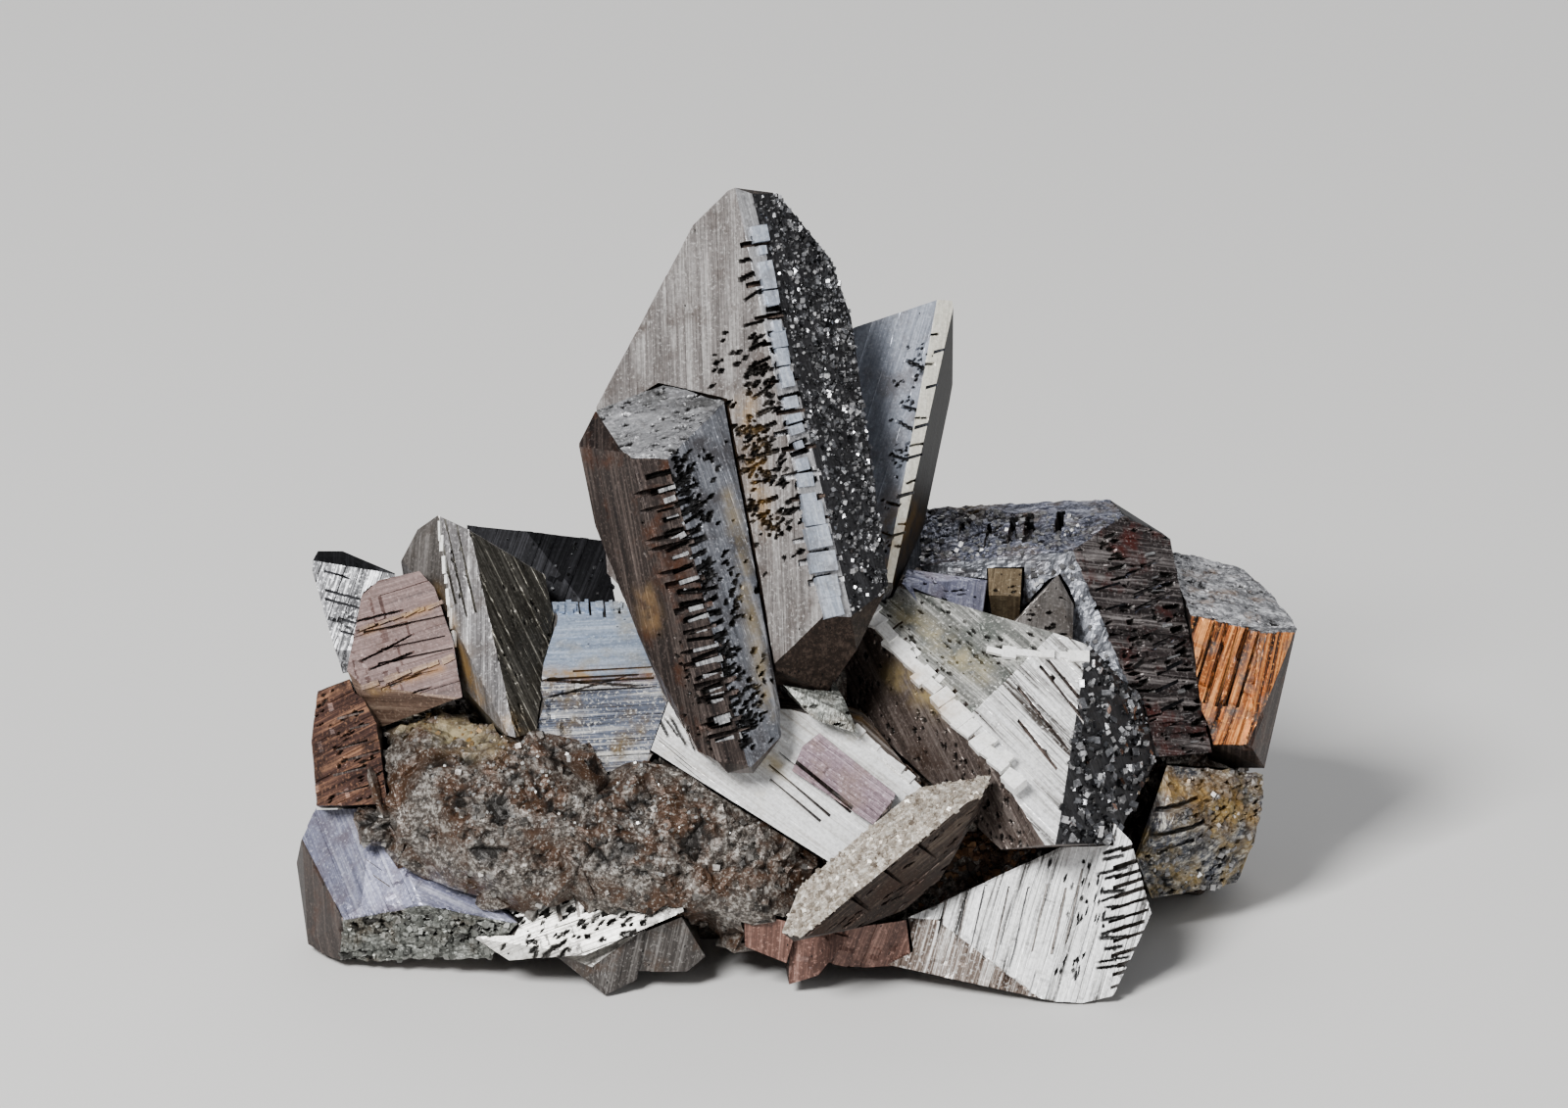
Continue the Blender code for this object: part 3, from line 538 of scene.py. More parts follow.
def grow_on(piece, values):
    """Grows one kind of grain on a piece, and keeps the result as its plain mesh."""
    growth = piece.modifiers.new("grains", "NODES")
    growth.node_group = GRAINS
    for socket in GRAINS.interface.items_tree:
        if socket.in_out == "INPUT" and socket.name in values:
            growth[socket.identifier] = values[socket.name]
    grown = bpy.data.meshes.new_from_object(
        piece.evaluated_get(bpy.context.evaluated_depsgraph_get()))
    piece.modifiers.remove(growth)
    grown.name = piece.data.name
    piece.data = grown


def ramp(tree, factor, *stops):
    """A colour ramp of (place, colour) stops."""
    node = tree.nodes.new("ShaderNodeValToRGB")
    tree.links.new(factor, node.inputs[0])
    elements = node.color_ramp.elements
    while len(elements) < len(stops):
        elements.new(0.5)
    for element, (place, colour) in zip(elements, stops):
        element.position = place
        element.color = (*colour, 1.0) if isinstance(colour, tuple) else (colour,) * 3 + (1.0,)
    return node.outputs["Color"]


def blend(tree, factor, one, other):
    """One colour turning into the other as the factor rises."""
    node = wire(tree, "ShaderNodeMix", {"data_type": "RGBA"})
    for number, value in ((0, factor), (6, one), (7, other)):
        plug(tree, node.inputs[number], value)
    return node.outputs[2]


# Painted shade with some dirt, for the floors of pits and clefts.
PIT_SHADE_AND_DIRT = (0.006, 0.005, 0.004)
BLOTCH_SCALE = 260.0
STAIN_SCALE = 420.0
GRAIN_SCALE = 2600.0
GLINT_SCALE = 3300.0


# Each face gets its own dark, middle and light tones. They are partly the crystal's own tarnish and
# partly painted light: near-white tones stand for a painted highlight on faces that catch the lamps, and
# near-black ones for painted shade on faces turned from them.
def crystal_face(name, dark, middle, light, blotch=None, blotches=0.5, speckle=0.0,
                 stain=(0.35, 0.2, 0.05), contrast=0.5, metallic=0.5, roughness=0.42, relief=0.05,
                 fineness=1.0, spread=0.08, glint_strength=0.6):
    """A striated face: tones across its striations, tarnish blotches, dark specks, painted glints and a
    rusty stain.
    """
    material = bpy.data.materials.new(name)
    material.use_nodes = True
    tree = material.node_tree
    shader = tree.nodes["Principled BSDF"]
    uv = tree.nodes.new("ShaderNodeUVMap")
    uv.uv_map = "striations"
    place = wire(tree, "ShaderNodeTexCoord").outputs["Object"]

    def add(one, other):
        return math_node(tree, "ADD", one, other)

    def times(one, other):
        return math_node(tree, "MULTIPLY", one, other)

    def striped(along, across, detail):
        mapped = wire(tree, "ShaderNodeMapping", Vector=uv.outputs[0],
                      Scale=(along, across * fineness, 1.0))
        return wire(tree, "ShaderNodeTexNoise", Vector=mapped.outputs[0], Scale=1.0, Detail=detail,
                    Roughness=0.6, Distortion=0.1).outputs["Fac"]

    def mottle(scale, detail=4.0):
        return wire(tree, "ShaderNodeTexNoise", Vector=place, Scale=scale, Detail=detail,
                    Roughness=0.62).outputs["Fac"]

    def drawn(attribute):
        return wire(tree, "ShaderNodeAttribute", {"attribute_name": attribute}).outputs["Fac"]

    # Three widths of stripe, mixed, and turned into the three tones.
    broad = striped(spread * 0.5, 0.7, 3.0)
    fine = striped(spread, 3.2, 4.0)
    hair = striped(spread * 2.0, 9.0, 2.0)
    stripes = add(add(times(broad, 0.4), times(fine, 0.4)), times(hair, 0.2))
    width = 0.26 - 0.2 * contrast
    colour = ramp(tree, stripes, (0.5 - width, dark), (0.5, middle), (0.5 + width, light))
    # Tarnish in blotches, then dark pores and painted glints, bright specks as fine as grains.
    if blotch:
        where = ramp(tree, mottle(BLOTCH_SCALE), (0.62 - 0.25 * blotches, 0.0),
                     (0.78 - 0.25 * blotches, 1.0))
        colour = blend(tree, where, colour, blotch)
    grain = mottle(GRAIN_SCALE, 2.0)
    colour = blend(tree, ramp(tree, grain, (0.3, 0.35), (0.6, 0.0)), colour,
                   tuple(0.35 * c for c in dark))
    # Painted glints: specks of the light tone that stand for light caught by tiny facets.
    glint = ramp(tree, mottle(GLINT_SCALE, 3.0), (0.56, 0.0), (0.68, glint_strength))
    colour = blend(tree, glint, colour, light)
    rough = add(roughness - 0.12, times(stripes, 0.24))
    height = add(stripes, times(grain, 0.25))
    # Small round etch holes, in the share of the cells that speckle gives, darkened inside as painted
    # shade with some dirt.
    if speckle:
        mapped = wire(tree, "ShaderNodeMapping", Vector=uv.outputs[0], Rotation=(0.0, 0.0, 0.4),
                      Scale=(1.5, 2.6, 1.0))
        cells = wire(tree, "ShaderNodeTexVoronoi", {"voronoi_dimensions": "2D"},
                     Vector=mapped.outputs[0], Scale=1.0, Randomness=1.0)
        hole = ramp(tree, cells.outputs["Distance"], (0.16, 1.0), (0.22, 0.0))
        chosen = ramp(tree, cells.outputs["Color"], (1.0 - speckle - 0.02, 0.0),
                      (1.0 - speckle, 1.0))
        hole = times(hole, chosen)
        colour = blend(tree, hole, colour, tuple(0.12 * c for c in dark))
        height = math_node(tree, "SUBTRACT", height, times(hole, 1.5))
    # The floors of pits and the clefts between lumps turn black, painted shade with some dirt, and
    # stained places rusty and dull.
    colour = blend(tree, ramp(tree, drawn("depth"), (0.02, 0.0), (0.22, 0.93)), colour, PIT_SHADE_AND_DIRT)
    rusty = times(drawn("stain"), ramp(tree, mottle(STAIN_SCALE), (0.38, 0.0), (0.6, 1.0)))
    colour = blend(tree, times(rusty, 0.85), colour, stain)
    rough = add(rough, times(rusty, 0.3))
    bump = wire(tree, "ShaderNodeBump", Strength=1.0, Distance=relief * MILLIMETRE, Height=height)
    plug(tree, shader.inputs["Base Color"], colour)
    plug(tree, shader.inputs["Roughness"], rough)
    plug(tree, shader.inputs["Normal"], bump.outputs[0])
    plug(tree, shader.inputs["Metallic"], metallic)
    return material


GREY_FACE = crystal_face(
    "brownish grey face", (0.07, 0.06, 0.056), (0.24, 0.22, 0.21), (0.58, 0.56, 0.54),
    blotch=(0.14, 0.118, 0.108), speckle=0.04, metallic=0.75)
FRONT_GREY = crystal_face(
    "pale grey front face", (0.13, 0.125, 0.13), (0.4, 0.395, 0.4), (0.75, 0.75, 0.77),
    blotch=(0.22, 0.215, 0.22), speckle=0.05, metallic=0.75)
LEDGE_BLUE = crystal_face(
    "bluish ledge", (0.24, 0.27, 0.33), (0.52, 0.58, 0.68), (0.86, 0.9, 0.96),
    blotch=(0.3, 0.3, 0.32), blotches=0.4, spread=0.2, metallic=0.7)
# The bed under the grains is near black, partly its own dark colour and partly painted shade, between
# the grains and on sides turned from the lamps.
DRUSE_BED_SHADE = crystal_face(
    "dark bed of the grains and painted shade", (0.006, 0.006, 0.006), (0.025, 0.024, 0.026), (0.08, 0.08, 0.085),
    speckle=0.3)
DARK_BREAK = crystal_face(
    "dark break", (0.006, 0.004, 0.003), (0.024, 0.015, 0.011), (0.1, 0.07, 0.055), speckle=0.15,
    relief=0.14, spread=2.0, fineness=0.8, metallic=0.7, roughness=0.5)
DRUSE_GREY = crystal_face(
    "sparkling grain", (0.02, 0.02, 0.022), (0.13, 0.13, 0.135), (0.75, 0.75, 0.77), metallic=0.95,
    roughness=0.22, contrast=0.9, spread=0.8)
UPRIGHT = (-0.1, 1, 0.1)
tall = Crystal("tall_crystal", {
    "broad face": ((-0.48, 0, 0.88), UPRIGHT, GREY_FACE, 0.8),
    "front face": ((-0.18, 0.16, 0.97), (-0.2, 1, 0.1), FRONT_GREY, 0.6),
    "ridge": ((0.3, 0.17, 0.94), (-0.2, 1, 0.1), FRONT_GREY, 0.5),
    "crusted face": ((0.69, 0.23, 0.69), (-0.2, 1, 0.1), DRUSE_BED_SHADE, 0.8),
    "right edge": ((0.96, 0.08, -0.26), (-0.2, 1, 0.1), FRONT_GREY, 1.2),
    "foot": ((-0.15, -0.95, 0.28), (1, 0, 0), DARK_BREAK, 1.0),
    "back": ((0.07, -0.03, -1), UPRIGHT, GREY_FACE, 1.4),
}, DARK_BREAK)
tall.stack_laths("broad face", width=1.2, depth=0.16, seed=3)
tall.stack_laths("front face", width=1.0, depth=0.12, seed=7)
tall.stack_laths("back", width=2.2, depth=0.2, seed=8)
PITTED_LINE = ((-3, 19), (-1.0, 4), 3.0)
tall.etch(
    "broad face", along=(1, 0.4, 0), per_square=4.5, length=1.0, width=0.42, depth=0.5, seed=1,
    near=PITTED_LINE)
tall.etch(
    "front face", along=(1, 0.4, 0), per_square=4.5, length=1.0, width=0.42, depth=0.5, seed=2,
    near=PITTED_LINE)
tall.notch(
    "ridge", (-2.2, 33), (4.2, -5), count=26, length=2.6, width=0.5, depth=0.8, seed=4,
    along=(1, 0.3, 0))
tall.notch(
    "broad face", (-3.4, 30), (-1.2, 6), count=12, length=2.4, width=0.4, depth=0.6, seed=6,
    along=(1, 0.35, 0))
tall.ledge(
    "ridge", (-2.6, 33), (2.4, 6), count=18, length=1.4, width=1.2, height=0.8, paint=LEDGE_BLUE,
    seed=9)
tall.ledge(
    "ridge", (2.8, 4.5), (4.8, -5.5), count=5, length=2.4, width=2.4, height=1.1, paint=LEDGE_BLUE,
    seed=10, wobble=0.2)
tall.grow(
    ["crusted face"], DRUSE_GREY, per_square=6.2, smallest=0.15, largest=0.6, seed=5,
    near=((4, 33), (15, -4), 7.5))
tall.stain((-4, 15), (-2, 3), reach=1.2, strength=0.55)
tall.finish("steel_grey")

# The front prism: a dark prism that grew against the front of the tall crystal, of the same
# steel-grey mineral under a brown tarnish. Its ridge is a comb of notches, and pits run out of them
# over both faces.
BROWN_TARNISH = crystal_face(
    "brown tarnish", (0.006, 0.004, 0.004), (0.028, 0.019, 0.016), (0.15, 0.115, 0.1),
    blotch=(0.06, 0.022, 0.01), blotches=0.35, speckle=0.08, contrast=0.6, metallic=0.6,
    stain=(0.32, 0.2, 0.09))
BLUE_TARNISH = crystal_face(
    "dark blue-grey face", (0.035, 0.037, 0.043), (0.16, 0.168, 0.19), (0.45, 0.46, 0.5),
    blotch=(0.075, 0.072, 0.078), blotches=0.5, speckle=0.05, metallic=0.7,
    stain=(0.34, 0.26, 0.13))
ROUGH_CAP = crystal_face(
    "rough pale cap", (0.13, 0.13, 0.135), (0.33, 0.33, 0.34), (0.62, 0.62, 0.63),
    blotch=(0.12, 0.12, 0.12), blotches=0.5, speckle=0.15, spread=0.7, relief=0.1, metallic=0.6)
COMB_LEDGE = crystal_face(
    "ledge of the comb", (0.1, 0.1, 0.103), (0.34, 0.34, 0.345), (0.8, 0.8, 0.8), metallic=0.8,
    contrast=0.7)
PRISM_WAY = (-0.25, 1, 0.1)
prism = Crystal("front_prism", {
    "left face": ((-0.76, -0.18, 0.62), PRISM_WAY, BROWN_TARNISH, 0.9),
    "right face": ((0.5, 0.17, 0.85), PRISM_WAY, BLUE_TARNISH, 0.7),
    "comb": ((0.12, 0.08, 0.99), PRISM_WAY, BROWN_TARNISH, 0.5),
    "cap": ((-0.15, 0.78, 0.6), (1, 0.1, 0), ROUGH_CAP, 0.7),
    "back": ((0.18, -0.16, -0.97), PRISM_WAY, BLUE_TARNISH, 1.4),
}, BROWN_TARNISH)
prism.stack_laths("left face", width=0.9, depth=0.14, seed=11)
prism.stack_laths("right face", width=1.1, depth=0.14, seed=12)
prism.notch(
    "right face", (-10.5, 8), (-4.2, -19), count=24, length=2.6, width=0.5, depth=0.8, seed=13,
    along=(1, 0.5, 0))
prism.notch(
    "comb", (-12.5, 8), (-6, -19), count=20, length=2.4, width=0.5, depth=0.8, seed=18,
    along=(1, 0.3, 0))
prism.etch(
    "right face", along=(1, 0.6, 0), per_square=5.0, length=1.0, width=0.45, depth=0.5, seed=14,
    near=((-10, 8), (-3.5, -17), 2.4))
prism.etch(
    "left face", along=(1, 0.2, 0), per_square=1.5, length=0.8, width=0.4, depth=0.3, seed=15,
    near=((-12, 8), (-7, -18), 2.2))
prism.etch("cap", along=(1, 0.3, 0), per_square=1.5, length=0.9, width=0.45, depth=0.3, seed=16)
prism.ledge(
    "comb", (-12, 7), (-5.6, -19), count=20, length=0.5, width=2.0, height=0.7, paint=COMB_LEDGE,
    seed=17, along=(-0.3, 1, 0))
prism.roughen(["cap"], lump=1.8, height=0.25)
prism.stain((-14, -4), (-13.5, -7), reach=1.0, strength=0.6)
prism.stain((-5.5, 6), (-1.5, -16), reach=0.8, strength=0.6)
prism.finish("dark_grey")

# The right blade: a smooth blade of arsenopyrite with a blue-grey tarnish, which grew up behind the
# tall crystal. Its right edge is a cream strip, and dark cracks run from the strip's notches into
# the face.
SMOOTH_BLUE = crystal_face(
    "smooth blue-grey face", (0.16, 0.175, 0.21), (0.29, 0.315, 0.37), (0.5, 0.53, 0.6),
    blotch=(0.2, 0.2, 0.22), blotches=0.5, speckle=0.03, contrast=0.35, metallic=0.75, relief=0.03)
CREAM_EDGE = crystal_face(
    "cream edge", (0.5, 0.47, 0.38), (0.82, 0.79, 0.68), (0.96, 0.94, 0.86), contrast=0.4,
    metallic=0.3, roughness=0.5, speckle=0.08)
# Painted shade: a near-black face for sides turned from the lamps and for crystals in shadow behind
# others.
SHADE_BLACK = crystal_face(
    "painted shade black face", (0.002, 0.002, 0.003), (0.006, 0.006, 0.007), (0.03, 0.03, 0.034),
    speckle=0.1, contrast=0.6, metallic=0.85, roughness=0.5, glint_strength=0.3)
BLADE_WAY = (0.2, 1, 0.1)
blade = Crystal("right_blade", {
    "face": ((-0.5, 0.21, 0.84), BLADE_WAY, SMOOTH_BLUE, 0.9),
    "low front": ((-0.07, 0.03, 1), BLADE_WAY, SMOOTH_BLUE, 0.9),
    "edge strip": ((0.49, 0.03, 0.87), BLADE_WAY, CREAM_EDGE, 0.4),
    "right": ((0.95, -0.17, 0.25), BLADE_WAY, SHADE_BLACK, 1.2),
}, BLUE_TARNISH)
blade.stack_laths("face", width=2.4, depth=0.08, seed=21)
blade.notch(
    "face", (13.5, 19), (10.7, 2.5), count=6, length=3.2, width=0.24, depth=0.35, seed=22,
    along=(1, -0.3, 0))
blade.etch(
    "face", along=(1, 0.2, 0), per_square=2.4, length=0.6, width=0.3, depth=0.3, seed=23,
    near=((13.6, 20), (11, 2), 1.4))
blade.notch(
    "edge strip", (15, 22), (12.2, 0), count=7, length=2.0, width=0.22, depth=0.4, seed=24,
    along=(1, 0.1, 0))
blade.stain((9, -2), (12, 4), reach=2.0, strength=0.6)
blade.finish("blue_grey")

# The silver tablet: the brightest crystal, a flat tablet of arsenopyrite that grew low on the ore.
# Its main face has no tarnish and is near white, partly its bare silver and partly a painted
# highlight; it has a raised mauve terrace and a yellow stain along its upper border.
# Near white: partly bare silver and partly a painted highlight.
SILVER_AND_HIGHLIGHT = crystal_face(
    "silver face with painted highlight", (0.45, 0.41, 0.36), (0.93, 0.93, 0.92), (1.0, 1.0, 1.0),
    blotch=(0.8, 0.76, 0.68), blotches=0.3, contrast=0.55, metallic=0.25, roughness=0.36,
    stain=(0.5, 0.38, 0.15))
MAUVE_TERRACE = crystal_face(
    "mauve terrace", (0.06, 0.038, 0.043), (0.165, 0.115, 0.135), (0.36, 0.29, 0.32),
    blotch=(0.16, 0.11, 0.105), speckle=0.03, contrast=0.5, metallic=0.6)
BROWN_STRIPED = crystal_face(
    "brown and white striped face", (0.05, 0.03, 0.02), (0.25, 0.2, 0.17), (0.85, 0.83, 0.8),
    speckle=0.04, contrast=0.95, metallic=0.65)
TABLET_WAY = (0.78, -0.62, 0.1)
tablet = Crystal("silver_tablet", {
    "main face": ((0.09, 0.41, 0.91), TABLET_WAY, SILVER_AND_HIGHLIGHT, 0.6),
    "terrace": ((-0.02, 0.33, 0.94), TABLET_WAY, MAUVE_TERRACE, 0.6),
    "left": ((-0.95, 0.31, -0.05), TABLET_WAY, BROWN_STRIPED, 0.8),
    "right": ((0.65, 0.74, 0.19), TABLET_WAY, BROWN_STRIPED, 0.7),
    "top": ((0.07, 0.99, 0.09), TABLET_WAY, BROWN_STRIPED, 0.7),
}, BROWN_TARNISH)
tablet.stack_laths("main face", width=1.3, depth=0.12, seed=31, breaks=4)
tablet.stack_laths("terrace", width=1.2, depth=0.08, seed=32)
tablet.notch(
    "main face", (-12.5, -17), (-7, -20), count=6, length=4.0, width=0.35, depth=0.3, seed=33,
    along=(0.45, -1, 0))
tablet.notch(
    "terrace", (1.0, -23.5), (3.0, -25.5), count=5, length=9.0, width=0.22, depth=0.3, seed=34,
    along=(0.78, -0.62, 0))
tablet.ledge(
    "main face", (4, -15), (13, -23), count=8, length=1.6, width=0.8, height=0.5,
    paint=SILVER_AND_HIGHLIGHT, seed=35)
tablet.stain((-12, -14), (0, -22), reach=0.8, strength=0.9)
tablet.stain((2, -13), (12, -19), reach=0.8, strength=0.9)
tablet.finish("silver")

# The front wedge: a brown wedge that grew across the front of the tablet, of the same mineral. Its
# upper bevel is frosted with sugary pale grains, and its lower face is scratched.
SUGARY = crystal_face(
    "sugary bevel", (0.16, 0.125, 0.095), (0.42, 0.365, 0.3), (0.9, 0.86, 0.78), metallic=0.4,
    roughness=0.42, spread=2.0, contrast=0.75)
SCRATCHED_BROWN = crystal_face(
    "scratched brown face", (0.005, 0.003, 0.002), (0.02, 0.012, 0.009), (0.16, 0.12, 0.09),
    speckle=0.06, contrast=0.35, blotch=(0.03, 0.014, 0.008), metallic=0.7, roughness=0.45,
    glint_strength=0.35)
WEDGE_WAY = (0.8, 0.6, 0)
wedge = Crystal("front_wedge", {
    "lower face": ((0.49, -0.58, 0.65), WEDGE_WAY, SCRATCHED_BROWN, 0.7),
    "bevel": ((-0.38, 0.57, 0.73), WEDGE_WAY, SUGARY, 0.5),
    "behind": ((-0.56, 0.78, -0.3), WEDGE_WAY, SCRATCHED_BROWN, 0.9),
}, DARK_BREAK)
wedge.stack_laths("lower face", width=0.9, depth=0.16, seed=41, breaks=4)
wedge.etch(
    "lower face", along=(0.8, 0.5, 0), per_square=0.8, length=1.2, width=0.25, depth=0.25, seed=42)
wedge.grow(["bevel"], SUGARY, per_square=6.0, smallest=0.15, largest=0.55, seed=43)
wedge.finish("brown")

# The striped crystal: a thick tablet of arsenopyrite, rooted in the ore beside the tall crystal. It
# has a brown lower face, a ledge of white steps across it and, above the ledge, silver faces with
# strong dark striations; the near white of the steps and of the silver faces is partly a painted
# highlight. Its right side is granular.
BROWN_PITTED = crystal_face(
    "brown pitted face", (0.03, 0.022, 0.018), (0.125, 0.095, 0.083), (0.34, 0.29, 0.26),
    blotch=(0.07, 0.045, 0.034), blotches=0.4, speckle=0.08, contrast=0.5, stain=(0.36, 0.27, 0.12),
    metallic=0.6)
BEIGE_GREEN = crystal_face(
    "beige and grey-green face", (0.07, 0.073, 0.066), (0.26, 0.26, 0.24), (0.85, 0.84, 0.79),
    blotch=(0.13, 0.14, 0.125), blotches=0.5, speckle=0.1, stain=(0.42, 0.35, 0.18), metallic=0.5,
    contrast=0.7)
# Near white between dark striations: partly the silver metal and partly a painted highlight.
SILVER_STRIPED_HIGHLIGHT = crystal_face(
    "silver striped face with painted highlight", (0.05, 0.04, 0.033), (0.86, 0.85, 0.83), (1.0, 1.0, 1.0), speckle=0.02,
    contrast=0.95, metallic=0.3, roughness=0.36)
WHITE_STEP = crystal_face(
    "white step", (0.7, 0.68, 0.63), (0.97, 0.96, 0.93), (1.0, 1.0, 0.99), metallic=0.05)
STRIPE_WAY = (0.64, -0.77, 0)
striped = Crystal("striped_crystal", {
    "lower face": ((-0.71, -0.16, 0.69), STRIPE_WAY, BROWN_PITTED, 0.8),
    "upper face": ((-0.09, 0.55, 0.83), STRIPE_WAY, BEIGE_GREEN, 0.6),
    "silver face": ((0.07, 0.43, 0.9), STRIPE_WAY, SILVER_STRIPED_HIGHLIGHT, 0.5),
    "right": ((0.79, 0.13, 0.59), STRIPE_WAY, DRUSE_BED_SHADE, 0.7),
    "top": ((0.34, 0.92, -0.22), STRIPE_WAY, BEIGE_GREEN, 0.9),
}, BROWN_PITTED)
striped.stack_laths("lower face", width=1.6, depth=0.12, seed=51)
striped.stack_laths("silver face", width=0.7, depth=0.26, seed=52, breaks=3)
striped.stack_laths("upper face", width=1.0, depth=0.16, seed=53, breaks=4)
striped.etch(
    "lower face", along=(0.3, 1, 0), per_square=1.0, length=0.8, width=0.45, depth=0.4, seed=54)
striped.etch(
    "upper face", along=(0.64, -0.77, 0), per_square=0.9, length=0.8, width=0.35, depth=0.3,
    seed=55)
# The white steps are near white partly as a painted highlight, bright though they lie in shade.
striped.ledge(
    "upper face", (7.4, -4.6), (23.6, -23.4), count=18, length=2.0, width=1.7, height=0.9,
    paint=WHITE_STEP, seed=57)
striped.ledge(
    "upper face", (10, -6), (22, -20), count=10, length=1.2, width=1.0, height=0.5,
    paint=WHITE_STEP, seed=59)
striped.ledge(
    "silver face", (22, -10), (30, -10.5), count=7, length=1.8, width=0.9, height=0.6,
    paint=WHITE_STEP, seed=58)
striped.grow(["right"], DRUSE_GREY, per_square=1.6, smallest=0.2, largest=0.8, seed=56, long=1.6)
striped.stain((11.5, -12.5), (16, -15), reach=1.4, strength=1.0)
striped.stain((12, -6), (20, -12), reach=1.2, strength=0.7)
striped.finish("silver")

# The left wedge: an upright wedge of arsenopyrite that stands in the ore. Its front is tarnished
# lavender-grey with long white growth streaks, and beyond a crease its right face is dark olive,
# its olive tone its own and its darkness partly painted shade, as it turns from the lamps.
LAVENDER_GREY = crystal_face(
    "lavender-grey face", (0.07, 0.066, 0.066), (0.2, 0.19, 0.19), (0.6, 0.585, 0.58),
    blotch=(0.14, 0.125, 0.12), speckle=0.03, contrast=0.55, metallic=0.7)
# Dark olive: the olive tone is the face's own, its darkness partly painted shade.
OLIVE_DARK = crystal_face(
    "olive-brown face", (0.014, 0.013, 0.01), (0.075, 0.069, 0.056), (0.27, 0.255, 0.22),
    blotch=(0.04, 0.036, 0.029), blotches=0.4, speckle=0.06, contrast=0.55, metallic=0.7)
GREY_BROWN = crystal_face(
    "grey-brown face", (0.06, 0.053, 0.048), (0.17, 0.153, 0.14), (0.4, 0.37, 0.35),
    blotch=(0.1, 0.083, 0.07), speckle=0.08, metallic=0.65)
LEFT_WAY = (-0.2, 1, 0.1)
left_wedge = Crystal("left_wedge", {
    "lavender face": ((-0.48, 0.24, 0.84), LEFT_WAY, LAVENDER_GREY, 0.7),
    "dark face": ((0.67, 0.41, 0.62), LEFT_WAY, OLIVE_DARK, 0.8),
    "left": ((-0.88, -0.19, 0.45), LEFT_WAY, LAVENDER_GREY, 1.0),
    "small facet": ((-0.78, 0.13, 0.62), LEFT_WAY, GREY_BROWN, 0.8),
    "top": ((0.47, 0.88, -0.09), (1, 0, 0), GREY_BROWN, 0.9),
}, OLIVE_DARK)
left_wedge.stack_laths("lavender face", width=0.9, depth=0.16, seed=61)
left_wedge.stack_laths("dark face", width=0.9, depth=0.2, seed=62)
left_wedge.etch(
    "dark face", along=(-0.2, 1, 0), per_square=0.6, length=1.0, width=0.35, depth=0.35, seed=63)
left_wedge.ledge(
    "lavender face", (-35.2, 3), (-33.6, -9), count=8, length=1.6, width=0.35, height=0.35,
    paint=WHITE_STEP, seed=64)
left_wedge.stain((-35.5, -4), (-31, -15), reach=0.8, strength=0.9)
left_wedge.stain((-28, -17), (-26, -20), reach=1.2, strength=0.5)
left_wedge.finish("lavender")

# The crystals at the left: a dusty pink block with nibbled brown ledges, a dark red-brown striped
# block under it, and a black-grey one behind them with wavy pale striations. All are tarnished
# arsenopyrite, grown against one another.
DUSTY_PINK = crystal_face(
    "dusty pink face", (0.04, 0.021, 0.018), (0.11, 0.062, 0.055), (0.24, 0.165, 0.15),
    blotch=(0.07, 0.034, 0.026), blotches=0.4, speckle=0.03, contrast=0.5, stain=(0.3, 0.15, 0.05),
    metallic=0.25)
PINK_EDGE = crystal_face(
    "nibbled brown edge", (0.04, 0.022, 0.015), (0.14, 0.085, 0.06), (0.36, 0.26, 0.19),
    metallic=0.4)
RUSSET = crystal_face(
    "russet striped face", (0.02, 0.009, 0.007), (0.085, 0.04, 0.03), (0.32, 0.16, 0.09),
    speckle=0.06, contrast=0.8, blotch=(0.035, 0.017, 0.013))
WAVY_GREY = crystal_face(
    "wavy striped face", (0.008, 0.008, 0.009), (0.07, 0.07, 0.073), (0.7, 0.7, 0.72), speckle=0.05,
    contrast=0.85, spread=0.2, metallic=0.7)
pink = Crystal("pink_block", {
    "front": ((-0.32, 0.09, 0.94), (1, 0.25, 0), DUSTY_PINK, 0.6),
    "lower": ((-0.33, -0.58, 0.74), (1, 0.25, 0), PINK_EDGE, 0.8),
    "top": ((-0.18, 0.97, -0.14), (1, 0, 0), GREY_BROWN, 0.9),
    "left": ((-0.98, 0.19, -0.07), (0, 0.2, 1), DUSTY_PINK, 0.9),
    "right": ((0.93, 0.16, -0.3), (0, 0.2, 1), WAVY_GREY, 0.9),
}, BROWN_TARNISH)
pink.stack_laths("front", width=2.4, depth=0.25, seed=71, breaks=3)
pink.notch(
    "front", (-42, -6), (-38.5, -15), count=6, length=5.5, width=0.22, depth=0.4, seed=72,
    along=(1, 0.32, 0))
pink.ledge(
    "front", (-43, -7.6), (-35.5, -5.2), count=8, length=1.3, width=0.4, height=0.5,
    paint=PINK_EDGE, seed=77)
pink.ledge(
    "front", (-42.5, -13.5), (-34.5, -10.8), count=9, length=1.2, width=0.5, height=0.5,
    paint=PINK_EDGE, seed=78)
pink.stain((-43, -8), (-36, -5.4), reach=0.4, strength=0.6)
pink.stain((-42, -14), (-35, -11.5), reach=0.5, strength=0.8)
pink.finish("dusty_pink")

russet = Crystal("russet_block", {
    "front": ((-0.55, 0.22, 0.8), (1, 0.25, 0), RUSSET, 0.6),
    "left": ((-0.98, 0.07, -0.16), (0, 1, 0.1), RUSSET, 0.9),
    "top": ((0.21, 0.96, -0.19), (1, 0, 0.2), GREY_BROWN, 0.9),
}, BROWN_TARNISH)
russet.stack_laths("front", width=0.9, depth=0.3, seed=74)
russet.etch("front", along=(1, 0.25, 0), per_square=0.8, length=1.2, width=0.35, depth=0.4, seed=75)
russet.finish("russet")

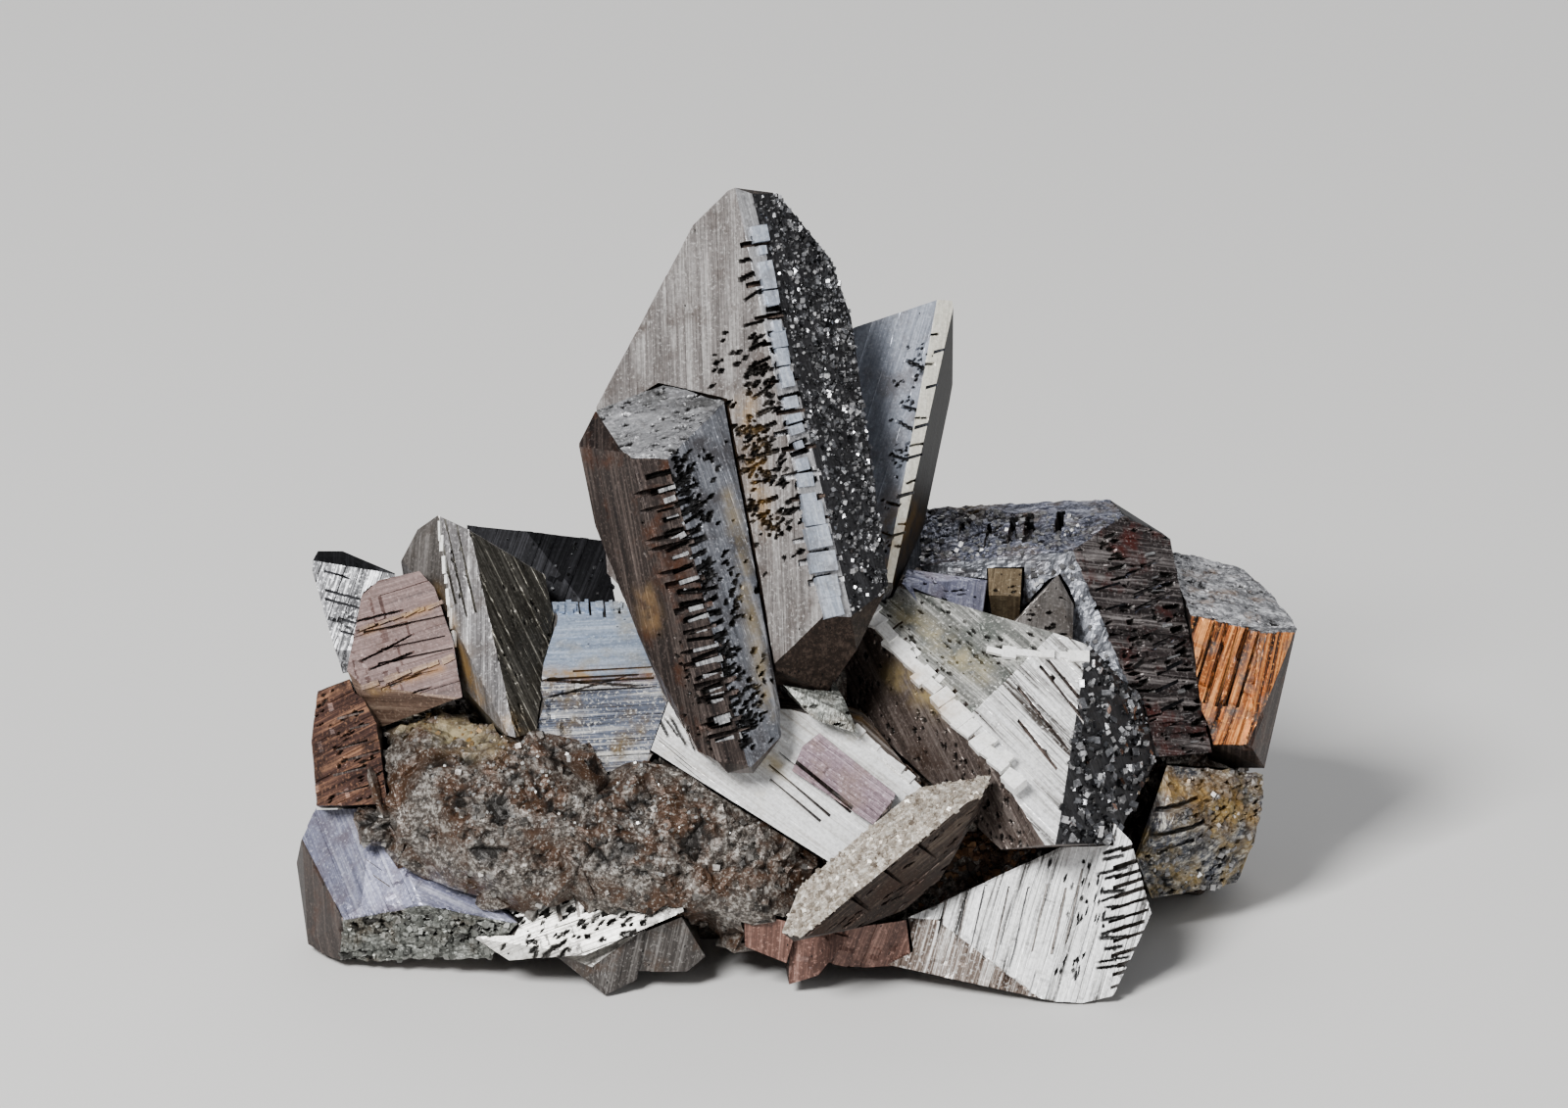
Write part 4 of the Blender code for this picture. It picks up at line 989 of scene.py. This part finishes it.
far_left = Crystal("far_left_crystal", {
    "front": ((-0.14, 0.12, 0.98), (0.3, 1, 0), WAVY_GREY, 0.6),
    "left": ((-0.95, -0.3, -0.1), (0.2, 1, 0.1), WAVY_GREY, 0.9),
    "top": ((0.41, 0.91, -0.07), (1, 0, 0.2), GREY_BROWN, 0.9),
}, SHADE_BLACK)
far_left.stack_laths("front", width=0.8, depth=0.3, seed=76, breaks=4)
far_left.finish("steel_grey")

# The blue block and the crystal behind it, both of arsenopyrite and set in the ore: the
# block is pale blue above and grey-blue below, with brown bands between the two and a row of small
# pale ledges along its top edge. The crystal behind is near black, painted shade for the shadow
# that it lies in behind the block.
PALE_BLUE = crystal_face(
    "pale blue face", (0.17, 0.215, 0.3), (0.36, 0.44, 0.57), (0.72, 0.79, 0.88),
    blotch=(0.42, 0.43, 0.42), speckle=0.03, contrast=0.45, metallic=0.6)
BANDED_BLUE = crystal_face(
    "banded grey-blue face", (0.015, 0.012, 0.012), (0.085, 0.1, 0.14), (0.62, 0.6, 0.55),
    blotch=(0.1, 0.07, 0.035), blotches=0.5, speckle=0.03, contrast=0.75, stain=(0.13, 0.06, 0.03),
    metallic=0.65)
blue = Crystal("blue_block", {
    "upper": ((-0.03, 0.71, 0.7), (1, 0.06, 0), PALE_BLUE, 0.6),
    "lower": ((0, 0.36, 0.93), (1, 0.06, 0), BANDED_BLUE, 0.7),
    "top": ((0.02, 0.97, -0.25), (1, 0, 0), GREY_BROWN, 0.9),
    "left": ((-0.99, 0.03, -0.1), (0, 1, 0), BANDED_BLUE, 0.9),
    "right": ((0.97, 0.12, -0.22), (0, 1, 0), BANDED_BLUE, 0.9),
}, GREY_BROWN)
blue.stack_laths("upper", width=1.8, depth=0.1, seed=81)
blue.stack_laths("lower", width=0.8, depth=0.2, seed=82)
blue.ledge(
    "upper", (-23.3, -5.6), (-16.5, -5.3), count=11, length=0.5, width=1.2, height=0.6,
    paint=PALE_BLUE, seed=83)
blue.notch(
    "lower", (-20, -11.8), (-20, -13.8), count=4, length=11.0, width=0.25, depth=0.3, seed=84,
    along=(1, 0.06, 0))
blue.stain((-24, -12.2), (-14, -12.4), reach=0.8, strength=1.0)
blue.stain((-24, -20), (-21, -20.5), reach=1.2, strength=0.9)
blue.finish("blue_grey")

back = Crystal("back_crystal", {
    "front": ((-0.02, 0.43, 0.9), (0.3, 1, 0), SHADE_BLACK, 0.8),
    "top": ((0.12, 0.98, -0.13), (1, 0, 0), SHADE_BLACK, 0.9),
}, SHADE_BLACK)
back.stack_laths("front", width=1.3, depth=0.25, seed=85)
back.grow(["front"], DRUSE_GREY, per_square=0.35, smallest=0.2, largest=0.5, seed=86)
back.finish("black")

# The pitted block: the big block of arsenopyrite at the right, grown up out of the ore and mottled
# dark blue and lavender on top. Deep slits cross its front-right face and open on its right edge.
MOTTLED_BLUE = crystal_face(
    "mottled blue top", (0.012, 0.013, 0.02), (0.065, 0.07, 0.105), (0.38, 0.39, 0.46),
    blotch=(0.09, 0.07, 0.06), blotches=0.5, speckle=0.1, spread=0.35, relief=0.1, contrast=0.8,
    metallic=0.6, stain=(0.35, 0.24, 0.08))
DARK_RED = crystal_face(
    "dark face with red patches", (0.008, 0.006, 0.006), (0.035, 0.026, 0.025), (0.3, 0.27, 0.26),
    blotch=(0.075, 0.014, 0.01), blotches=0.45, speckle=0.08, contrast=0.75, metallic=0.5)
GREY_STEP = crystal_face(
    "grey step", (0.08, 0.078, 0.078), (0.25, 0.245, 0.245), (0.6, 0.6, 0.6), metallic=0.75,
    contrast=0.6)
pitted = Crystal("pitted_block", {
    "top": ((-0.21, 0.89, 0.4), (1, 0.1, 0), MOTTLED_BLUE, 0.6),
    "top edge": ((-0.07, 0.98, 0.18), (1, 0.1, 0), MOTTLED_BLUE, 0.6),
    "front right": ((0.56, 0.32, 0.76), (1, 0.12, 0), DARK_RED, 0.6),
    "front": ((-0.09, 0.08, 0.99), (0.2, 1, 0), BLUE_TARNISH, 0.7),
    "left": ((-0.83, -0.06, 0.56), (0.2, 1, 0), LAVENDER_GREY, 0.7),
    "middle": ((0.19, 0.45, 0.87), (0.2, 1, 0), BLUE_TARNISH, 0.7),
    "right": ((0.98, 0.16, -0.09), (0, 1, 0), DARK_RED, 0.9),
}, SHADE_BLACK)
pitted.stack_laths("front right", width=0.8, depth=0.35, seed=91, breaks=5)
pitted.notch(
    "front right", (39.2, -2), (42.6, -19), count=11, length=2.2, width=0.45, depth=1.0, seed=92,
    along=(1, 0.3, 0))
pitted.notch(
    "front right", (33.5, 2), (38, -18), count=12, length=2.0, width=0.35, depth=0.6, seed=95,
    along=(1, 0.35, 0), wobble=0.6)
pitted.ledge(
    "front right", (35.4, 1), (40.0, -19), count=14, length=2.0, width=0.5, height=0.6,
    paint=DARK_RED, seed=96, along=(1, 0.3, 0), wobble=0.7)
pitted.ledge(
    "front right", (37.5, 0), (41.5, -18), count=9, length=1.1, width=0.25, height=0.5,
    paint=GREY_STEP, seed=99, along=(1, 0.3, 0), wobble=0.7)
pitted.etch(
    "front right", along=(1, 0.3, 0), per_square=0.7, length=1.3, width=0.4, depth=0.5, seed=98)
pitted.etch("top", along=(1, 0.1, 0), per_square=0.6, length=1.0, width=0.5, depth=0.4, seed=94)
pitted.roughen(["top", "top edge"], lump=2.6, height=0.5)
pitted.roughen(["front", "middle"], lump=2.6, height=0.3)
pitted.grow(["top", "front"], GREY_STEP, per_square=0.8, smallest=0.2, largest=0.6, seed=97)
pitted.stain((14, 7.5), (19, 6), reach=1.5, strength=0.9)
pitted.finish("dark_grey")

# The orange crystal and the mottled mass under it, grown against the pitted block's far side: the
# crystal has a copper-orange tarnish in slanted stripes between black ones and a speckled grey top,
# and the mass is a lump of massive arsenopyrite, grey and rusty.
ORANGE_STRIPED = crystal_face(
    "orange striped face", (0.006, 0.004, 0.003), (0.42, 0.115, 0.02), (0.95, 0.4, 0.12),
    speckle=0.04, contrast=0.95, blotch=(0.13, 0.11, 0.1), blotches=0.6, metallic=0.4)
GREY_SPECKLED = crystal_face(
    "speckled grey face", (0.05, 0.05, 0.054), (0.2, 0.2, 0.21), (0.65, 0.65, 0.67),
    blotch=(0.2, 0.12, 0.07), blotches=0.3, speckle=0.15, spread=0.8, contrast=0.8)
MOTTLED_RUST = crystal_face(
    "grey, yellow and blue lump", (0.014, 0.016, 0.023), (0.08, 0.086, 0.105), (0.56, 0.54, 0.48),
    blotch=(0.28, 0.2, 0.08), blotches=0.6, speckle=0.1, spread=1.2, relief=0.14, contrast=0.8)
ORANGE_WAY = (0.35, 1, 0)
orange = Crystal("orange_crystal", {
    "top": ((0.26, 0.89, 0.37), (1, 0.2, 0), GREY_SPECKLED, 0.6),
    "front": ((0.11, 0.12, 0.99), ORANGE_WAY, ORANGE_STRIPED, 0.5),
    "front right": ((0.57, 0.05, 0.82), ORANGE_WAY, ORANGE_STRIPED, 0.5),
    "dark side": ((0.87, -0.21, 0.44), ORANGE_WAY, BROWN_TARNISH, 0.8),
    "right": ((0.97, -0.22, -0.13), ORANGE_WAY, BROWN_TARNISH, 0.9),
}, BROWN_TARNISH)
orange.stack_laths("front", width=0.9, depth=0.7, seed=101, breaks=4)
orange.stack_laths("front right", width=0.8, depth=0.4, seed=102, breaks=3)
orange.etch("top", along=(1, 0.2, 0), per_square=1.0, length=0.8, width=0.4, depth=0.3, seed=103)
orange.roughen(["top"], lump=2.4, height=0.3)
orange.finish("copper_orange")

mottled = Crystal("mottled_block", {
    "top": ((0.09, 1, -0.02), (1, 0, 0), MOTTLED_RUST, 0.7),
    "upper right": ((0.54, 0.42, 0.73), (1, 0.3, 0), MOTTLED_RUST, 0.6),
    "right": ((0.72, -0.04, 0.69), (1, 0.3, 0), MOTTLED_RUST, 0.6),
    "low": ((0.47, -0.57, 0.67), (1, 0.3, 0), MOTTLED_RUST, 0.6),
}, MOTTLED_RUST)
for number, name in enumerate(("upper right", "right", "low")):
    mottled.etch(
        name, along=(1, 0.3, 0), per_square=0.8, length=1.0, width=0.5, depth=0.4,
        seed=104 + number)
mottled.roughen(["upper right", "right", "low"], lump=2.2, height=0.5)
mottled.grow(
    ["upper right", "right", "low"], GREY_STEP, per_square=0.5, smallest=0.2, largest=0.7, seed=107)
mottled.stain((41, -24), (47, -26), reach=3.0, strength=0.7)
mottled.finish("blue_grey")

# The low crystals along the foot, which grew out sideways from the ore: a lavender block, a cream
# blade with black patches, dark and salmon points, and a white fluted crystal whose right edge is a
# row of teeth. The fluted crystal's white is partly a painted highlight.
LAVENDER_BLUE = crystal_face(
    "lavender-blue face", (0.08, 0.082, 0.12), (0.23, 0.235, 0.33), (0.6, 0.61, 0.72),
    blotch=(0.17, 0.15, 0.19), speckle=0.03, contrast=0.5, metallic=0.6)
GREY_GREEN = crystal_face(
    "granular grey-green face", (0.04, 0.042, 0.038), (0.15, 0.155, 0.14), (0.5, 0.51, 0.47),
    blotch=(0.09, 0.075, 0.055), blotches=0.5, speckle=0.1, spread=2.0, relief=0.12, contrast=0.8)
CREAM_WHITE = crystal_face(
    "cream-white face", (0.16, 0.15, 0.135), (0.76, 0.74, 0.69), (0.95, 0.94, 0.9),
    blotch=(0.05, 0.045, 0.04), blotches=0.4, speckle=0.1, metallic=0.5, contrast=0.8)
DARK_POINT = crystal_face(
    "dark brown and grey point", (0.01, 0.008, 0.007), (0.045, 0.038, 0.034), (0.26, 0.245, 0.23),
    blotch=(0.06, 0.034, 0.02), blotches=0.4, speckle=0.1, metallic=0.25)
SALMON = crystal_face(
    "salmon and red-brown point", (0.025, 0.01, 0.007), (0.12, 0.055, 0.04), (0.42, 0.24, 0.19),
    blotch=(0.06, 0.024, 0.016), blotches=0.4, speckle=0.08, metallic=0.25)
# Near white between dark striations: partly the crystal's own pale metal and partly a painted highlight.
FLUTED_WHITE_HIGHLIGHT = crystal_face(
    "white fluted face with painted highlight", (0.07, 0.066, 0.062), (0.87, 0.87, 0.86), (1.0, 1.0, 1.0), speckle=0.03,
    contrast=0.9, metallic=0.3, roughness=0.36)
lavender = Crystal("lavender_block", {
    "upper right": ((0.57, 0.81, 0.13), (1, -0.6, 0), LAVENDER_BLUE, 0.8),
    "top": ((0.26, 0.96, -0.12), (1, 0, 0), LAVENDER_BLUE, 0.9),
    "front left": ((-0.43, 0.36, 0.83), (-0.6, 1, 0), LAVENDER_BLUE, 0.6),
    "front": ((0.03, 0.54, 0.84), (1, -0.6, 0), LAVENDER_BLUE, 0.6),
    "lower": ((-0.18, -0.59, 0.79), (1, 0, 0), GREY_GREEN, 0.6),
    "left": ((-0.88, -0.1, 0.47), (0.1, 1, 0), BROWN_TARNISH, 0.8),
}, GREY_BROWN)
lavender.stack_laths("front left", width=1.0, depth=0.2, seed=111, breaks=3)
lavender.stack_laths("front", width=1.0, depth=0.2, seed=112, breaks=3)
lavender.etch(
    "lower", along=(1, 0.2, 0), per_square=1.4, length=0.9, width=0.5, depth=0.4, seed=113)
lavender.roughen(["lower"], lump=2.0, height=0.4)
lavender.grow(["lower"], GREY_GREEN, per_square=1.6, smallest=0.2, largest=0.8, seed=114)
lavender.finish("lavender")

pale = Crystal("pale_blade", {
    "front": ((-0.24, 0.32, 0.92), (1, 0.3, 0), CREAM_WHITE, 0.5),
    "top": ((-0.07, 0.97, -0.25), (1, 0.1, 0), CREAM_WHITE, 0.7),
}, GREY_BROWN)
pale.stack_laths("front", width=0.9, depth=0.3, seed=115, breaks=4)
pale.etch("front", along=(1, 0.8, 0), per_square=1.6, length=1.1, width=0.5, depth=0.5, seed=116)
pale.finish("silver")

dark_points = Crystal("lower_points_left", {
    "front": ((-0.01, -0.33, 0.94), (0.2, 1, 0), DARK_POINT, 0.6),
    "upper": ((-0.19, 0.48, 0.86), (1, 0.2, 0), CREAM_WHITE, 0.6),
}, DARK_POINT)
dark_points.stack_laths("front", width=1.1, depth=0.3, seed=117)
dark_points.finish("dark_grey")

salmon_points = Crystal("lower_points_right", {
    "right": ((0.04, -0.44, 0.9), (0.3, 1, 0), SALMON, 0.6),
    "middle": ((-0.14, -0.11, 0.98), (0.1, 1, 0), SALMON, 0.6),
    "left": ((-0.08, -0.24, 0.97), (0.1, 1, 0), SALMON, 0.6),
}, BROWN_TARNISH)
salmon_points.stack_laths("right", width=1.0, depth=0.3, seed=118, breaks=3)
salmon_points.stack_laths("middle", width=1.0, depth=0.2, seed=119, breaks=3)
salmon_points.finish("russet")

FAN_WAY = (0.28, 1, 0.1)
fan = Crystal("fan_crystal", {
    "front": ((0, 0.17, 0.99), FAN_WAY, FLUTED_WHITE_HIGHLIGHT, 0.5),
    "front left": ((-0.18, -0.06, 0.98), FAN_WAY, BROWN_STRIPED, 0.6),
    "top": ((-0.42, 0.89, -0.15), (1, 0.3, 0), GREY_BROWN, 0.8),
    "right": ((0.95, 0, -0.12), FAN_WAY, SHADE_BLACK, 0.8),
}, GREY_BROWN)
fan.stack_laths("front", width=0.7, depth=0.4, seed=121)
fan.stack_laths("front left", width=0.8, depth=0.3, seed=122)
fan.notch(
    "front", (33.5, -30), (33.5, -42), count=13, length=3.0, width=0.3, depth=0.5, seed=123,
    along=(1, 0.2, 0))
fan.etch(
    "front", along=(0.28, 1, 0), per_square=1.2, length=1.0, width=0.3, depth=0.4, seed=124,
    near=((31, -32), (31, -42), 2.5))
fan.finish("silver")

# The small crystals in the saddle and the chip under the tall crystal's foot: lavender, brown and
# grey-green ones of the same mineral, which grew in the gaps between their big neighbours.
BROWN_GOLD = crystal_face(
    "brown and gold face", (0.06, 0.04, 0.02), (0.18, 0.13, 0.075), (0.38, 0.31, 0.2),
    blotch=(0.1, 0.07, 0.04), blotches=0.6, speckle=0.1)
for node, look, slot, seed in (("saddle_crystal", LAVENDER_BLUE, "lavender", 131),
                               ("saddle_block", BROWN_GOLD, "brown", 132),
                               ("saddle_wedge", GREY_BROWN, "steel_grey", 133),
                               ("foot_chip", GREY_GREEN, "dark_grey", 134)):
    small = Crystal(node, {
        "front": ((0.1, 0.2, 0.97), (0.2, 1, 0), look, 0.6),
        "top": ((0.1, 0.97, 0.1), (1, 0.1, 0), look, 0.6),
        "left": ((-0.75, 0.6, 0.1), (0.2, 1, 0), look, 0.7),
        "right": ((0.9, -0.2, 0.1), (0.2, 1, 0), look, 0.8),
    }, look)
    for step, name in enumerate(("front", "top", "left")):
        small.stack_laths(name, width=0.8, depth=0.16, seed=seed + 10 * step)
        small.etch(
            name, along=(1, 0.2, 0), per_square=0.8, length=0.8, width=0.35, depth=0.3,
            seed=seed + 20 + step)
    small.finish(slot)

# The crystals at the back: plain striated prisms and tablets of arsenopyrite, a little duller than
# the front ones, which grew out of the ore behind them.
DULL_STEEL = crystal_face(
    "dull steel face", (0.045, 0.045, 0.048), (0.16, 0.16, 0.168), (0.4, 0.4, 0.42),
    blotch=(0.1, 0.09, 0.09), speckle=0.06, metallic=0.7)
for node, look, slot, lean, seed in (("rear_prism", DULL_STEEL, "steel_grey", (-0.2, 1, 0), 141),
                                     ("rear_tablet", DUSTY_PINK, "dusty_pink", (0.3, 1, 0), 142),
                                     ("rear_block", LAVENDER_BLUE, "lavender", (1, 0.2, 0), 143),
                                     ("rear_blade", BLUE_TARNISH, "blue_grey", (0.15, 1, 0), 144)):
    rear = Crystal(node, {
        "back": ((0.1, 0.1, -0.99), lean, look, 1.9),
        "left": ((-0.9, 0.2, -0.35), lean, look, 1.9),
        "right": ((0.9, 0.1, -0.35), lean, look, 1.9),
        "top": ((0, 1, -0.1), (1, 0.1, 0), GREY_BROWN, 1.2),
    }, look)
    for step, name in enumerate(("back", "left", "right")):
        rear.stack_laths(name, width=1.6, depth=0.22, seed=seed + 10 * step, breaks=3)
        rear.etch(
            name, along=(1, 0.2, 0), per_square=0.09, length=1.6, width=0.6, depth=0.4,
            seed=seed + 30 + step)
    rear.finish(slot)

# The ore that everything grew on: a rough lump of grey-brown gangue, granular and crumbly, with
# sparkling grains, patches of pale grains and rusty crumbs, and a flat foot where it was sawn off.
ORE = crystal_face(
    "granular ore", (0.012, 0.009, 0.007), (0.09, 0.074, 0.062), (0.46, 0.43, 0.39),
    blotch=(0.06, 0.028, 0.013), blotches=0.8, speckle=0.1, spread=2.4, fineness=0.8, metallic=0.4,
    roughness=0.45, relief=0.2, stain=(0.42, 0.35, 0.2), contrast=0.8)
ORE_GRAIN = crystal_face(
    "ore grain", (0.018, 0.015, 0.012), (0.11, 0.1, 0.09), (0.5, 0.48, 0.45), metallic=0.6,
    roughness=0.4, blotch=(0.06, 0.035, 0.02), blotches=0.6, contrast=0.8, spread=2.4, fineness=0.8)
RUSTY_CRUMB = crystal_face(
    "rusty crumb", (0.04, 0.018, 0.008), (0.15, 0.07, 0.03), (0.34, 0.19, 0.08), metallic=0.1,
    roughness=0.75, blotch=(0.03, 0.018, 0.012))
PALE_GRAIN = crystal_face(
    "pale grain", (0.2, 0.195, 0.185), (0.45, 0.44, 0.42), (0.8, 0.8, 0.79), metallic=0.7,
    roughness=0.35)
ore = Crystal("matrix", {
    "front": ((0, 0.1, 1), (1, -0.3, 0), ORE, 0.75),
    "upper": ((0, 1, 0.3), (1, -0.3, 0), ORE, 1.2),
    "lower": ((0, -0.7, 0.7), (1, -0.2, 0), ORE, 1.2),
    "left": ((-1, 0, 0.1), (0, 0, 1), ORE, 1.5),
    "right": ((1, 0, 0.1), (0, 0, 1), ORE, 1.5),
    "back": ((0, 0, -1), (1, 0, 0), ORE, 1.5),
}, ORE)
ore.roughen(["front", "upper", "left", "right", "back"], lump=3.4, height=1.1)
ore.grow(
    ["front", "upper", "lower"], ORE_GRAIN, per_square=0.34, smallest=0.2, largest=0.8, seed=151)
ore.grow(["left", "right", "back"], ORE_GRAIN, per_square=0.14, smallest=0.4, largest=1.2, seed=152)
ore.grow(
    ["front", "upper"], PALE_GRAIN, per_square=1.2, smallest=0.12, largest=0.42, seed=153,
    near=((-30, -22), (-14, -26), 6.0, 0.8))
ore.grow(
    ["front", "upper"], RUSTY_CRUMB, per_square=1.5, smallest=0.3, largest=1.0, seed=154,
    near=((14, -30), (26, -30), 5.0))
ore.stain((-43, -15), (-30, -19), reach=1.6, strength=0.9)
ore.finish("ore_crust")

# Floor, light and camera: a pale studio floor, one strong soft lamp from the front left, weak ones
# from the right and from behind, and a camera that looks down a little from far away.
FLOOR_SIZE = 6.0

floor_mesh = bpy.data.meshes.new("floor")
half = FLOOR_SIZE / 2
floor_mesh.from_pydata([(-half, -half, 0), (half, -half, 0), (half, half, 0), (-half, half, 0)], [],
                       [(0, 1, 2, 3)])
floor = bpy.data.objects.new("floor", floor_mesh)
bpy.context.scene.collection.objects.link(floor)
floor_paint = bpy.data.materials.new("pale floor")
floor_paint.use_nodes = True
floor_shader = floor_paint.node_tree.nodes["Principled BSDF"]
floor_shader.inputs["Base Color"].default_value = (0.72, 0.71, 0.69, 1.0)
floor_shader.inputs["Roughness"].default_value = 0.8
floor_mesh.materials.append(floor_paint)
floor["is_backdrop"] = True

CAMERA_LENS = 400.0
CAMERA_SENSOR = 36.0
FRAME_WIDTH = 0.160
CAMERA_TARGET = Vector((0.0, 0.0, 0.040))


def look_along(thing, place, target):
    thing.location = place
    thing.rotation_euler = (target - place).to_track_quat("-Z", "Y").to_euler()


camera = bpy.data.objects.new("camera", bpy.data.cameras.new("camera"))
bpy.context.scene.collection.objects.link(camera)
camera.data.lens = CAMERA_LENS
camera.data.sensor_width = CAMERA_SENSOR
camera.data.clip_start = 0.01
camera.data.clip_end = 20.0
distance = FRAME_WIDTH * CAMERA_LENS / CAMERA_SENSOR
look_along(camera, CAMERA_TARGET + distance * Vector((0.0, -math.cos(BOARD_LEAN), math.sin(BOARD_LEAN))),
           CAMERA_TARGET)
bpy.context.scene.camera = camera

for name, place, size, power in (("key lamp", (-0.5, -0.8, 0.85), 0.4, 30.0),
                                 ("fill lamp", (0.9, -0.5, 0.4), 0.8, 2.0),
                                 ("back lamp", (0.1, 1.0, 0.9), 0.8, 5.0)):
    lamp = bpy.data.lights.new(name, "AREA")
    lamp.size = size
    lamp.energy = power
    stand = bpy.data.objects.new(name, lamp)
    bpy.context.scene.collection.objects.link(stand)
    look_along(stand, Vector(place), CAMERA_TARGET)

world = bpy.data.worlds.new("studio")
world.use_nodes = True
world.node_tree.nodes["Background"].inputs["Color"].default_value = (0.9, 0.93, 1.0, 1.0)
world.node_tree.nodes["Background"].inputs["Strength"].default_value = 0.22
bpy.context.scene.world = world

[[list(corner) for corner in box] for box in (cad_box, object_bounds())]
